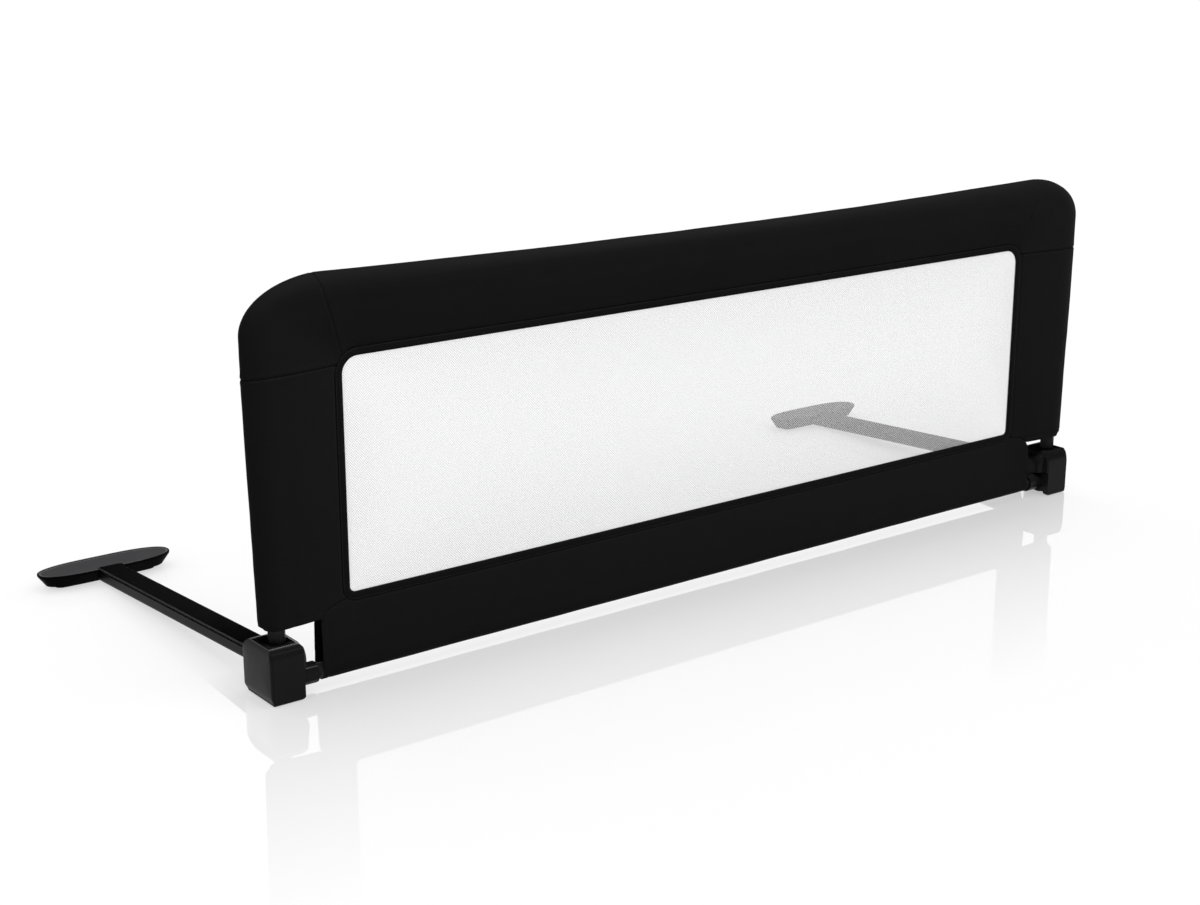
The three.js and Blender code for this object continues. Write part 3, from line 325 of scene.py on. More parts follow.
def grained_finish(name, dark, light, grain, roughness, spread, depth, metallic=0.0, ior=1.5, worn=None):
    """Moulded, coated or plated finish between two tones, with the grain's fineness and its depth in metres."""
    material, tree, shader, coordinates = new_material(name)
    surface = placed_group(
        tree, GRAIN, coordinates.outputs["Object"], Grain=grain, Roughness=roughness, Spread=spread)
    clouds = noise_node(tree, coordinates.outputs["Object"], scale=30.0, detail=3.0)
    tint = mix_colour(tree, clouds, dark, light)
    if worn:
        tint = mix_colour(tree, surface.outputs["Wear"], tint, worn)
    tree.links.new(tint, shader.inputs["Base Color"])
    tree.links.new(surface.outputs["Roughness"], shader.inputs["Roughness"])
    set_inputs(shader, {"Metallic": metallic, "IOR": ior})
    add_bump(tree, shader, surface.outputs["Height"], strength=0.35, distance=depth)
    return material


def make_net_finish():
    """White twisted yarn."""
    material, tree, shader, coordinates = new_material("net yarn")
    twist = tree.nodes.new("ShaderNodeTexWave")
    twist.bands_direction = "X"
    set_inputs(twist, {"Scale": 420.0, "Distortion": 1.5})
    tree.links.new(coordinates.outputs["Object"], twist.inputs["Vector"])
    tint = mix_colour(tree, twist.outputs["Fac"], (0.73, 0.73, 0.74), (0.83, 0.83, 0.83))
    tree.links.new(tint, shader.inputs["Base Color"])
    slow = noise_node(tree, coordinates.outputs["Object"], scale=14.0)
    tree.links.new(mixed(tree, slow, 0.5, 0.66), shader.inputs["Roughness"])
    add_bump(tree, shader, twist.outputs["Fac"], strength=0.4, distance=0.0001)
    return material


COVER = woven_finish("black cover cloth", (0.0034, 0.0034, 0.0036), (0.006, 0.006, 0.0063),
                     pitch=0.00062, sheen=0.012, depth=0.00012)
LINING = woven_finish("black binding tape", (0.0024, 0.0024, 0.0026), (0.0042, 0.0042, 0.0045),
                      pitch=0.0009, sheen=0.006, depth=0.00016)
THREAD = grained_finish("sewing thread", (0.005, 0.005, 0.005), (0.009, 0.009, 0.009),
                        grain=4000.0, roughness=0.6, spread=0.1, depth=0.00005)
NET = make_net_finish()


def make_rim_group():
    """Masks for the foot's outer rim, painted dark as shade, and the line inside it, painted light as a highlight,
    from smaller ovals inside its outline.
    """
    tree, given, result = group("foot rim", [("Vector", "Vector", None)], [("Rim", "Float"), ("Edge", "Float")])
    parts = tree.nodes.new("ShaderNodeSeparateXYZ")
    tree.links.new(given.outputs["Vector"], parts.inputs[0])
    from_centre = math_node(tree, "SUBTRACT", math_node(tree, "ABSOLUTE", parts.outputs["X"]), FOOT_CENTRE[0])
    beyond = math_node(tree, "MAXIMUM", math_node(
        tree, "SUBTRACT", math_node(tree, "ABSOLUTE", from_centre), FOOT_STRAIGHT), 0.0)
    across = math_node(tree, "SUBTRACT", parts.outputs["Y"], FOOT_CENTRE[1])
    for name, inset in (("Rim", RIM_WIDTH), ("Edge", PAINTED_HIGHLIGHT_EDGE)):
        along = math_node(tree, "DIVIDE", beyond, FOOT_HALF_LENGTH - FOOT_STRAIGHT - inset)
        level = math_node(tree, "DIVIDE", across, FOOT_HALF_WIDTH - inset)
        level = math_node(tree, "ABSOLUTE", level)
        sides = [math_node(tree, "POWER", side, FOOT_FULLNESS) for side in (along, level)]
        tree.links.new(math_node(tree, "GREATER_THAN", math_node(tree, "ADD", *sides), 1.0), result.inputs[name])
    return tree


RIM = make_rim_group()


def make_foot_finish():
    """Grained top with a painted highlight line inside a rim painted dark as shade."""
    material = grained_finish("grained foot moulding", (0.044, 0.044, 0.046), (0.054, 0.054, 0.056), grain=1300.0,
                              roughness=0.5, spread=0.12, depth=0.00008, ior=1.2, worn=(0.085, 0.085, 0.087))
    tree = material.node_tree
    base = tree.nodes["Principled BSDF"].inputs["Base Color"]
    top = base.links[0].from_socket
    coordinates = tree.nodes.new("ShaderNodeTexCoord")
    rim = placed_group(tree, RIM, coordinates.outputs["Object"])
    # painted highlight on the line inside the rim
    top_with_highlight = mix_colour(tree, rim.outputs["Edge"], top, (0.15, 0.15, 0.152))
    # painted shade on the outer rim
    tree.links.new(mix_colour(tree, rim.outputs["Rim"], top_with_highlight, (0.004, 0.004, 0.0042)), base)
    return material


CASING = grained_finish("glossy black moulding", (0.006, 0.006, 0.0063), (0.0078, 0.0078, 0.0081), grain=2600.0,
                        roughness=0.22, spread=0.06, depth=0.000012, ior=1.15, worn=(0.014, 0.014, 0.0145))
INNER = grained_finish("satin dark moulding", (0.008, 0.008, 0.0083), (0.012, 0.012, 0.0125), grain=1800.0,
                       roughness=0.42, spread=0.1, depth=0.00004, ior=1.2)
FOOT = make_foot_finish()
# The foot's sides and underside: near black as painted shade, where the top of the same moulding is grey
SHADED_FOOT_WALL = grained_finish("foot wall painted shade", (0.0015, 0.0015, 0.0017), (0.0025, 0.0025, 0.0027), grain=1500.0,
                           roughness=0.3, spread=0.1, depth=0.00003, ior=1.05)
TUBE = grained_finish("grey powder coat", (0.02, 0.02, 0.0215), (0.027, 0.027, 0.0285), grain=1700.0,
                      roughness=0.34, spread=0.08, depth=0.00004, ior=1.2)
LEG = grained_finish("black powder coat", (0.003, 0.003, 0.0032), (0.0045, 0.0045, 0.0047), grain=1500.0,
                     roughness=0.34, spread=0.08, depth=0.00002, ior=1.12)
RUBBER = grained_finish("rubber", (0.003, 0.003, 0.003), (0.005, 0.005, 0.005), grain=900.0,
                        roughness=0.8, spread=0.12, depth=0.00008, ior=1.1, worn=(0.012, 0.012, 0.012))
BLACKED = grained_finish("blacked steel", (0.02, 0.02, 0.021), (0.035, 0.035, 0.036), grain=1500.0,
                         roughness=0.4, spread=0.12, depth=0.00002, metallic=1.0)
STEEL = grained_finish("plated steel", (0.42, 0.43, 0.44), (0.56, 0.57, 0.58), grain=1200.0,
                       roughness=0.28, spread=0.12, depth=0.00002, metallic=1.0)


# Cloth of the cover


def keep_mesh(bm, name, material):
    """The finished bmesh as an object in the scene."""
    mesh = bpy.data.meshes.new(name)
    bm.to_mesh(mesh)
    bm.free()
    piece = bpy.data.objects.new(name, mesh)
    bpy.context.scene.collection.objects.link(piece)
    mesh.materials.append(material)
    return piece


def shade_smooth(bm):
    for face in bm.faces:
        face.smooth = True


def face_front(bm):
    """Turns a sheet's faces so that the sheet's front looks away from the bed."""
    bmesh.ops.recalc_face_normals(bm, faces=bm.faces)
    bm.normal_update()
    front = min(bm.verts, key=lambda vert: vert.co.y)
    if front.normal.y > 0:
        bmesh.ops.reverse_faces(bm, faces=bm.faces)
        bm.normal_update()


def thicken(piece, thickness):
    """Gives a sheet its thickness, inwards from its face."""
    thick = piece.modifiers.new("thickness", "SOLIDIFY")
    thick.thickness = thickness * MM
    thick.offset = -1


def grid_place(vert, across, along):
    """Column and row of a vertex in a new grid."""
    return round((vert.co.x + 0.5) * across), round((vert.co.y + 0.5) * along)


def to_outline(start, way, side, top, radius):
    """Distance along way to a rounded outline of that side, top and corner radius."""
    reach = (side - start.x) / way.x if way.x > 1e-6 else math.inf
    if start.y + reach * way.y <= top - radius:
        return reach
    reach = (top - start.y) / way.y
    if start.x + reach * way.x <= side - radius:
        return reach
    offset = Vector((side - radius, top - radius)) - start
    along = offset.dot(way)
    return along + math.sqrt(along**2 - offset.length_squared + radius**2)


def on_corner(corner, reach, degrees):
    """A point round one of the window's corners."""
    return corner + direction(degrees) * reach


LOW_START = on_corner(LOW_CORNER, LOW_REACH, -BAND_SEAM_TURN)
TOP_SEAM_START = on_corner(TOP_CORNER, TOP_REACH, TOP_SEAM_TURN)
TOP_SEAM_END = Vector((TOP_SEAM_X, CORNER_TOP_Z))
TOP_SEAM_ACROSS = (TOP_SEAM_END - TOP_SEAM_START).normalized().orthogonal()
CORNER_SIDE = 1 if TOP_SEAM_ACROSS.x > 0 else -1  # the corner piece lies on the outer side of the slanting seam

# Rows of a sheet's section: along the front from the edge, round the tube and back. -1 is the tucked edge.
FRONT_SHARES = (-1, 0, 0.006, 0.015, 0.03, 0.055, 0.09, 0.14, 0.2, 0.27, 0.34, 0.41, 0.48, 0.55, 0.62, 0.69, 0.76,
                0.83, 0.9, 0.95)
ROUND_TURNS = tuple(-90 + 180 * i / 18 for i in range(19))
ROWS = (
    [("front", share) for share in FRONT_SHARES]
    + [("round", turn) for turn in ROUND_TURNS]
    + [("back", share) for share in reversed(FRONT_SHARES)]
)


def section_point(edge, outer, row, reach, half, edge_half, tuck):
    """Distance along the section, y, and the distance along the cloth from its edge."""
    kind, value = row
    if value == -1 and kind != "round":
        value = -tuck / reach
    beyond = (outer - edge).length - reach
    if kind == "round":
        turn = math.radians(value)
        length = (beyond + half) / 2
        return reach + beyond * math.cos(turn), half * math.sin(turn), reach + length * (math.pi / 2 - abs(turn))
    height = edge_half + (half - edge_half) * (1 - (1 - value) ** BELLY)
    return reach * value, -height if kind == "front" else height, reach * value


def seam_form(distance, strength):
    """How the cloth dips 0.8 mm into a seam and stands up 0.4 mm at 4 mm beside it."""
    groove = -0.8 * bell(distance, 1.0)
    ridge = 0.4 * bell(distance - 4.0, 2.6)
    return (groove + ridge) * strength


def pucker(x, z, salt):
    """Small unevenness that the stitches draw into the cloth. The salt picks its pattern."""
    return uneven(x / 7.0, z / 7.0, salt)


def seam_lift(x, z, side):
    """How far the seams near a point of the cover move it outwards, in mm."""
    x = abs(x)
    lift = 0.0
    level = abs(z - SEAM_Z)
    if level < SEAM_REACH and x > WINDOW_HALF:
        lift += seam_form(level, 1 + 0.5 * pucker(x, 0, side))
        lift += 0.5 * math.exp(-level / 8) * pucker(x * 0.8, z * 0.3, side + 4)
    slant = abs((Vector((x, z)) - TOP_SEAM_START).dot(TOP_SEAM_ACROSS))
    if slant < SEAM_REACH and z > SEAM_Z:
        lift += seam_form(slant, 0.45 + 0.3 * pucker(z, 0, side + 9))
        lift += 0.35 * math.exp(-slant / 8) * pucker(x * 0.3, z * 0.8, side + 13)
    return lift


def crease(beside, x, z):
    """Shallow hollow where the cloth leaves the tube, at a distance from the tube's centre line."""
    depth = 0.5 + 0.35 * uneven(x / 60.0, z / 60.0, 5.0)
    return -depth * bell(beside - 19, 5)


def slack(x, z, side):
    """Slow unevenness of the cloth between the tubes, in mm."""
    broad = uneven(x / 130.0, z / 95.0, side * 3.7)
    drag = uneven(x / 46.0, z / 21.0, side * 3.7 + 11)
    return 0.55 * broad + 0.22 * drag


def cloth_sheet(name, columns):
    """A sheet of cloth round a tube, with a column of the grid for each of its sections."""
    bm = bmesh.new()
    weave = bm.loops.layers.uv.new("weave")
    across, along = len(columns) - 1, len(ROWS) - 1
    bmesh.ops.create_grid(bm, x_segments=across, y_segments=along, size=0.5)
    flat = {}
    lifts = {}
    for vert in bm.verts:
        i, k = grid_place(vert, across, along)
        edge, outer, sign, reach, half, edge_half, lift, tuck = columns[i]
        row = ROWS[k]
        way = (outer - edge).normalized()
        distance, y, unrolled = section_point(edge, outer, row, reach, half, edge_half, tuck)
        place = edge + way * distance
        cut = edge + way * unrolled
        flat[vert] = Vector((sign * cut.x, cut.y)) * MM
        side = 1 if y < 0 else 2
        inside = max(unrolled, 0.0)
        rim = -0.9 * bell(inside, 1.4) + 0.25 * bell(inside - 4.5, 2.5)
        hold = smooth((unrolled - 3) / 30)
        hollow = crease(reach - unrolled, place.x, place.y) if row[0] != "round" else 0.0
        lifts[vert] = (seam_lift(sign * place.x, place.y, side) + rim + hold * slack(sign * place.x, place.y, side)
                       + hollow * hold + lift) * MM
        vert.co = at(sign * place.x, y, place.y)
    for face in bm.faces:
        for loop in face.loops:
            loop[weave].uv = flat[loop.vert]
    face_front(bm)
    for vert, normal in [(vert, vert.normal.copy()) for vert in bm.verts]:
        vert.co += normal * lifts[vert]
    shade_smooth(bm)
    piece = keep_mesh(bm, name, COVER)
    thicken(piece, CLOTH)
    return piece


def column(edge, outer, sign, reach=None, half=SLEEVE_HALF, edge_half=EDGE_HALF, lift=0.0, tuck=TUCK):
    """A section from the window's edge to the outer point: reach to the tube, half thicknesses, lift and tuck."""
    way = (outer - edge).normalized()
    if reach is None:
        reach = to_outline(edge, way, HALF_PITCH, TUBE_TOP_Z, BEND_RADIUS)
    return edge, outer, sign, reach, half, edge_half, lift, tuck


def stations(low, high, step, extra=()):
    """Places from low to high, closer together near both ends, with extra ones."""
    inner = high - low - 2 * NEAR[-1]
    count = max(round(inner / step), 1)
    middle = [low + NEAR[-1] + inner * i / count for i in range(1, count)]
    middle = [place for place in middle if all(abs(place - other) > 0.5 for other in extra)]
    return sorted([low + d for d in NEAR] + middle + list(extra) + [high - d for d in NEAR])


def sleeve_edge(z):
    """Distance from the middle to the sleeve's inner edge at a height."""
    if z > TOP_CORNER.y:
        return TOP_CORNER.x + math.sqrt(TOP_REACH**2 - (z - TOP_CORNER.y) ** 2)
    if z >= LOW_CORNER.y:
        return LOW_CORNER.x + LOW_REACH
    if z >= LOW_START.y:
        return LOW_CORNER.x + math.sqrt(LOW_REACH**2 - (LOW_CORNER.y - z) ** 2)
    fall = (z - BAND_END_Z) / (LOW_START.y - BAND_END_Z)
    return LOW_START.x + (BAND_HALF_LENGTH - LOW_START.x) * math.sqrt(max(1 - fall**2, 0)) + SEAM_GAP


def band_top(x):
    """Height of the bottom band's upper edge at a distance from the middle."""
    x = abs(x)
    if x <= LOW_CORNER.x:
        return WINDOW_LOW - EDGE_REACH
    if x <= LOW_START.x:
        return LOW_CORNER.y - math.sqrt(LOW_REACH**2 - (x - LOW_CORNER.x) ** 2)
    run = (x - LOW_START.x) / (BAND_HALF_LENGTH - LOW_START.x)
    return BAND_END_Z + (LOW_START.y - BAND_END_Z) * math.sqrt(max(1 - run**2, 0))


def swollen(x):
    """Half thickness of the side sleeve at a distance from the middle."""
    share = max(x - LOW_START.x, 0) / (HALF_PITCH - LOW_START.x)
    return EDGE_HALF + (SLEEVE_HALF - EDGE_HALF) * (1 - (1 - share) ** BELLY)


def hem_dip(from_edge):
    """How deep the hem's seam lies at a distance from the cloth's edge."""
    return 0.5 * bell(from_edge - HEM_WIDTH, 1.2)


def side_sleeve(name, sign):
    columns = []
    hem_z = HEM_Z + (HEM_RIDDEN if sign > 0 else 0)
    # Close columns where the binding ends
    seam_levels = [LOW_START.y + d for d in (0.02, -0.02, -0.1, -0.3, -0.7, -1.3, -2.2, -3.4)]
    for z in stations(hem_z, SEAM_Z - SEAM_GAP / 2, SLEEVE_STEP, seam_levels):
        drawn = smooth((z - hem_z) / GATHER)
        tilt = (z - LOW_CORNER.y) / (TOP_CORNER.y - LOW_CORNER.y)
        side = SLEEVE_SIDE_LOW + (SLEEVE_SIDE_HIGH - SLEEVE_SIDE_LOW) * min(max(tilt, 0), 1)
        outer = HALF_PITCH + HEM_REACH + (side - HALF_PITCH - HEM_REACH) * drawn
        edge = Vector((sleeve_edge(z), z))
        bound = z >= LOW_START.y
        columns.append(column(edge, Vector((outer, z)), sign, edge_half=EDGE_HALF if bound else swollen(edge.x),
                              lift=-hem_dip(z - hem_z), tuck=TUCK if bound else FREE_TUCK))
    return cloth_sheet(name, columns)


def corner_drop(x):
    """How far the cover's top falls away towards the corner."""
    share = max((abs(x) - SLEEVE_SIDE_HIGH) / CORNER_RUN + 1, 0)
    return CORNER_RISE * (1 - math.sqrt(1 - share**2))


def corner_outline():
    """Outer line of the corner piece with the distance along it, from the level seam to the slanting one."""
    points = [Vector((SLEEVE_SIDE_HIGH, SEAM_Z))]
    last = math.acos((TOP_SEAM_X - SLEEVE_SIDE_HIGH) / CORNER_RUN + 1)
    steps = 120
    for i in range(steps + 1):
        turn = last * i / steps
        points.append(Vector((
            SLEEVE_SIDE_HIGH - CORNER_RUN * (1 - math.cos(turn)),
            CORNER_TOP_Z - CORNER_RISE * (1 - math.sin(turn)),
        )))
    lengths = [0.0]
    for before, here in zip(points, points[1:]):
        lengths.append(lengths[-1] + (here - before).length)
    return points, lengths


CORNER_LINE, CORNER_LENGTHS = corner_outline()


def outer_corner(way):
    """Point of the corner piece's outer line at a share of its length."""
    along = way * CORNER_LENGTHS[-1]
    for i, length in enumerate(CORNER_LENGTHS[1:]):
        if along <= length + 1e-9:
            share = (along - CORNER_LENGTHS[i]) / (length - CORNER_LENGTHS[i])
            return CORNER_LINE[i].lerp(CORNER_LINE[i + 1], share)
    return CORNER_LINE[-1]


def corner_piece(name, sign):
    first = math.degrees(math.asin((SEAM_Z - TOP_CORNER.y) / TOP_REACH))
    columns = []
    for place in stations(0.0, CORNER_SPAN, SLEEVE_STEP):
        way = place / CORNER_SPAN
        edge = on_corner(TOP_CORNER, TOP_REACH, first + (TOP_SEAM_TURN - first) * way)
        outer = outer_corner(way)
        shift = Vector((0, SEAM_GAP / 2)) * (1 - way) + TOP_SEAM_ACROSS * SEAM_GAP / 2 * way * CORNER_SIDE
        columns.append(column(edge + shift, outer + shift, sign))
    return cloth_sheet(name, columns)


def top_at(x):
    """Height of the cover's top at a distance from the middle."""
    fullness = min(abs(x) / TOP_SEAM_X, 1) ** 2
    return MIDDLE_TOP_Z + (CORNER_TOP_Z - MIDDLE_TOP_Z) * fullness - corner_drop(x)


def top_band(name):
    columns = []
    for x in stations(-TOP_SEAM_X, TOP_SEAM_X, BAND_STEP):
        sign = -1 if x < 0 else 1
        place = abs(x)
        outer = Vector((place, top_at(place)))
        if place > TOP_CORNER.x:
            way = (TOP_SEAM_X - place) / (TOP_SEAM_X - TOP_CORNER.x)
            edge = on_corner(TOP_CORNER, TOP_REACH, TOP_SEAM_TURN + (90 - TOP_SEAM_TURN) * way)
            shift = -TOP_SEAM_ACROSS * SEAM_GAP / 2 * (1 - way) * CORNER_SIDE
            columns.append(column(edge + shift, outer + shift, sign))
        else:
            edge = Vector((place, TOP_CORNER.y + TOP_REACH))
            columns.append(column(edge, outer, sign))
    return cloth_sheet(name, columns)


def bottom_band(name):
    columns = []
    seam_places = [side * (LOW_START.x + d) for side in (-1, 1) for d in (-0.02, 0.02, 1.0, 2.5)]
    for x in stations(-BAND_HALF_LENGTH, BAND_HALF_LENGTH, BAND_STEP, seam_places):
        sign = -1 if x < 0 else 1
        place = abs(x)
        edge = Vector((place, band_top(place)))
        columns.append(column(edge, Vector((place, CROSSBAR_Z - BAND_HALF)), sign, reach=edge.y - CROSSBAR_Z,
                              half=BAND_HALF, edge_half=swollen(place), lift=-hem_dip(BAND_HALF_LENGTH - place),
                              tuck=TUCK if place <= LOW_START.x else FREE_TUCK))
    return cloth_sheet(name, columns)


covers = []
for side_name, side_sign in SIDES:
    sleeve = side_sleeve(f"sleeve_cloth_{side_name}", side_sign)
    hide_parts(f"side_sleeve_{side_name}")
    corner = corner_piece(f"corner_cloth_{side_name}", side_sign)
    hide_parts(f"corner_piece_{side_name}")
    covers += [sleeve, corner]
top_cloth = top_band("top_band_cloth")
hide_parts("top_band")
bottom_cloth = bottom_band("bottom_band_cloth")
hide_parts("bottom_band")
covers += [top_cloth, bottom_cloth]
for cloth in covers:
    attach(cloth, "guard")


# Binding, stitches and net


def window_loop(step):
    """Points round the window's edge, each with its outward direction."""
    corners = [
        (TOP_CORNER, TOP_ROUND),
        (Vector((-TOP_CORNER.x, TOP_CORNER.y)), TOP_ROUND),
        (Vector((-LOW_CORNER.x, LOW_CORNER.y)), LOW_ROUND),
        (LOW_CORNER, LOW_ROUND),
    ]
    points = []
    steps = 12
    for i, (centre, radius) in enumerate(corners):
        for k in range(steps + 1):
            out = direction(90 * i + 90 * k / steps)
            points.append((centre + out * radius, out))
        following = (i + 1) % 4
        out = direction(90 * following)
        end = corners[following][0] + out * corners[following][1]
        start = points[-1][0]
        count = max(int((end - start).length / step), 1)
        points += [(start.lerp(end, k / count), out) for k in range(1, count)]
    return points


# Section of the tape's front: distance from the window's edge and from the net
TAPE = [(11.0, 1.45), (10.9, 2.0), (10.2, 2.3), (9.4, 2.12), (8.6, 2.32), (6.0, 2.42), (3.4, 2.36), (1.7, 2.05),
        (0.6, 1.4), (0.1, 0.7)]
TAPE_ROWS = [(out, -y) for out, y in TAPE] + [(0.0, 0.0)] + [(out, y) for out, y in reversed(TAPE)]
TAPE_ROW_WIDTH = 1.3  # of the flat tape
TAPE_THICKNESS = 0.6
TAPE_STEP = 6.0
STITCH_LINE = 9.4  # from the window's edge
STITCH_Y = 2.22  # from the net
STITCH_STEP = 3.6
STITCH_APART = 3.2  # at the least
STITCH_HALVES = (1.25, 0.24, 0.2)  # half length, width and height of a stitch


def binding(name):
    """The tape folded over the window's edge, with its length along the edge."""
    loop = window_loop(TAPE_STEP)
    loop.append(loop[0])
    lengths = [0.0]
    for (before, _), (here, _) in zip(loop, loop[1:]):
        lengths.append(lengths[-1] + (here - before).length)
    bm = bmesh.new()
    weave = bm.loops.layers.uv.new("weave")
    across, along = len(loop) - 1, len(TAPE_ROWS) - 1
    bmesh.ops.create_grid(bm, x_segments=across, y_segments=along, size=0.5)
    shade_smooth(bm)
    for face in bm.faces:
        for corner in face.loops:
            i, k = grid_place(corner.vert, across, along)
            corner[weave].uv = (lengths[i] * MM, k * TAPE_ROW_WIDTH * MM)
    for vert in bm.verts:
        i, k = grid_place(vert, across, along)
        point, out = loop[i]
        reach, y = TAPE_ROWS[k]
        ripple = 0.14 * uneven(lengths[i] / 9.0, k / 6.0, 2.0) if 0 < i < across else 0.0
        place = point + out * reach
        vert.co = at(place.x, y + (ripple if y > 0 else -ripple), place.y)
    bmesh.ops.remove_doubles(bm, verts=bm.verts, dist=0.00001)
    face_front(bm)
    piece = keep_mesh(bm, name, LINING)
    thicken(piece, TAPE_THICKNESS)
    return piece, lengths[-1]


tape, tape_length = binding("binding_tape")
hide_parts("window_binding")
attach(tape, "guard")


def repeated(name, material, items, make, batch=48):
    """One piece from many small shapes, which are made a batch at a time to keep each step short."""
    whole = bmesh.new()
    part = bpy.data.meshes.new(f"{name} batch")
    for first in range(0, len(items), batch):
        bm = bmesh.new()
        for item in items[first:first + batch]:
            make(bm, item)
        for face in bm.faces:
            face.smooth = len(face.verts) < 5  # the yarns' ends stay flat
        bm.to_mesh(part)
        bm.free()
        whole.from_mesh(part)
    bpy.data.meshes.remove(part)
    return keep_mesh(whole, name, material)


def stitch(bm, place):
    """A small lock stitch at a position, with its direction and the cloth's normal, in metres."""
    position, direction, normal = place
    side = direction.cross(normal).normalized()
    turn = Matrix((direction, side, normal)).transposed().to_4x4()
    form = Matrix.Diagonal((*(half * MM for half in STITCH_HALVES), 1))
    bmesh.ops.create_uvsphere(bm, u_segments=6, v_segments=4, radius=1.0,
                              matrix=Matrix.Translation(position) @ turn @ form)


def binding_stitches(name):
    """Stitches along the outer edge of the tape, on both faces."""
    loop = window_loop(STITCH_STEP)
    places = []
    for facing in (-1, 1):
        for (here, out), (after, _) in zip(loop, loop[1:] + loop[:1]):
            middle = (here + after) / 2 + out * STITCH_LINE
            place = at(middle.x, facing * STITCH_Y, middle.y)
            along = (after - here).normalized()
            if not places or (places[-1][0] - place).length > STITCH_APART * MM:
                places.append((place, Vector((along.x, 0, along.y)), Vector((0, facing, 0))))
    return repeated(name, THREAD, places, stitch)


seams = binding_stitches("binding_stitches")
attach(seams, "guard")

NET_PITCH = 2.5
YARN = 0.3  # radius
YARN_Y = 0.22  # of each family, from the middle of the net
SHORTEST_YARN = 3.0  # across
NET_ALLOWANCE = 5.0  # the net runs this far under the binding at the sides
CORNER_ALLOWANCE = 8.0  # and this far at the slanting cuts over the corners


def yarn(bm, ends):
    start, end = ends
    along = end - start
    place = Matrix.Translation((start + end) / 2) @ along.to_track_quat("Z", "Y").to_matrix().to_4x4()
    bmesh.ops.create_cone(bm, cap_ends=True, segments=6, radius1=YARN * MM, radius2=YARN * MM,
                          depth=along.length, matrix=place)


def net(name):
    """Two families of slanting yarns, clipped to the window and the allowance under the binding."""
    side = WINDOW_HALF + NET_ALLOWANCE
    low, high = WINDOW_LOW - NET_ALLOWANCE, WINDOW_TOP + NET_ALLOWANCE
    top_slant = TOP_CORNER.x + TOP_CORNER.y + (TOP_ROUND + CORNER_ALLOWANCE) * math.sqrt(2)
    low_slant = LOW_CORNER.x - LOW_CORNER.y + (LOW_ROUND + CORNER_ALLOWANCE) * math.sqrt(2)
    step = NET_PITCH * math.sqrt(2)
    count = int((top_slant + low_slant) / step)
    yarns = []
    for family, y in ((1, -YARN_Y), (-1, YARN_Y)):
        for i in range(count):
            offset = -low_slant + (i + 0.5) * step  # height where the yarn crosses the middle
            x0 = max(-side, low - offset, (-low_slant - offset) / 2)
            x1 = min(side, high - offset, (top_slant - offset) / 2)
            if x1 - x0 > SHORTEST_YARN:
                yarns.append((at(family * x0, y, x0 + offset), at(family * x1, y, x1 + offset)))
    return repeated(name, NET, yarns, yarn)


yarns = net("net_yarns")
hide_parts("window_net")
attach(yarns, "guard")


# Rigid pieces


CASING_HEIGHT = 75.0
CASING_FRONT = -26.4
CASING_BACK = 50.0
CASING_SPLIT = 21.0  # parting line between the casing and its outer plate, from the upright's centre
ENVELOPE_INSET = 0.03
ENVELOPE_BEYOND = 70.0  # past the uprights
LOW_FRONT_ROUND = 3.6
LOW_BACK_ROUND = 17.5
TOP_BACK_ROUND = 27.5
TOP_FRONT_ROUND = 7.0
PLATE_CROWN = 2.3
CROWN_START = 0.6  # outboard of the parting line
CROWN_RUN = 1.5
LEAN_START = 52.0  # above this level the casing's front curves back
LEAN = 6.5
LEAN_DEPTH = 14.0
LEAN_LEVELS = (1.5, 3, 5, 7, 10, 46, 49, 52, 55, 58, 61, 64, 67, 70, 72)  # cuts that let the casing bend
LEAN_DEPTHS = (1.0, 4.0, 8.0, LEAN_DEPTH, 18.0, 24.0, 32.0)
SHOULDER_START = 46.0  # above this level the shoulder over the socket leans in
SHOULDER_RISE = 21.0
SHOULDER_LEAN = 5.5
SHOULDER_INNER = 25.2  # the shoulder lies between these distances inboard of the upright's centre
SHOULDER_OUTER = 34.0
SHOULDER_DEPTH = 16.0  # from the front, after which the lean fades over as much again
END_SHARE_START = 14.0  # outboard of this the casing's low and top ends are narrower
END_SHARE_RUN = 8.0
LOW_END, LOW_NARROWING = 10.0, 3.4
TOP_END, TOP_NARROWING = 65.0, 2.0
LEG_HALF_WIDTH = 18.5
GROOVE = 1.3  # depth of the leg's groove
GROOVE_LEVELS = (7.2, 5.5, 3.6)  # above the leg's centre line
SIDE_BAND = 1.1  # the leg's side faces lie this close to its half width
ON_LEVEL = 0.05
COLLAR_BORE = 13.2
COLLAR_DROP = 1.4
MERGE = 0.000002  # metres
FLAT = 0.6  # faces this many degrees apart become one
CRISP = 35.0  # edges sharper than this are rounded


def cut_level(bm, place, normal):
    """Adds an edge loop where a plane meets the mesh."""
    bmesh.ops.bisect_plane(bm, geom=bm.verts[:] + bm.edges[:] + bm.faces[:], plane_co=place, plane_no=normal)


def round_outline(corners, steps=12):
    """Points of an outline whose corners, given as (y, z, radius) in turn, are rounded."""
    points = []
    for i, (y, z, radius) in enumerate(corners):
        here = Vector((y, z))
        before = (Vector(corners[i - 1][:2]) - here).normalized()
        after = (Vector(corners[(i + 1) % len(corners)][:2]) - here).normalized()
        centre = here + (before + after) * radius
        for k in range(steps + 1):
            turn = math.radians(90 * k / steps)
            points.append(centre - after * radius * math.cos(turn) - before * radius * math.sin(turn))
    return points


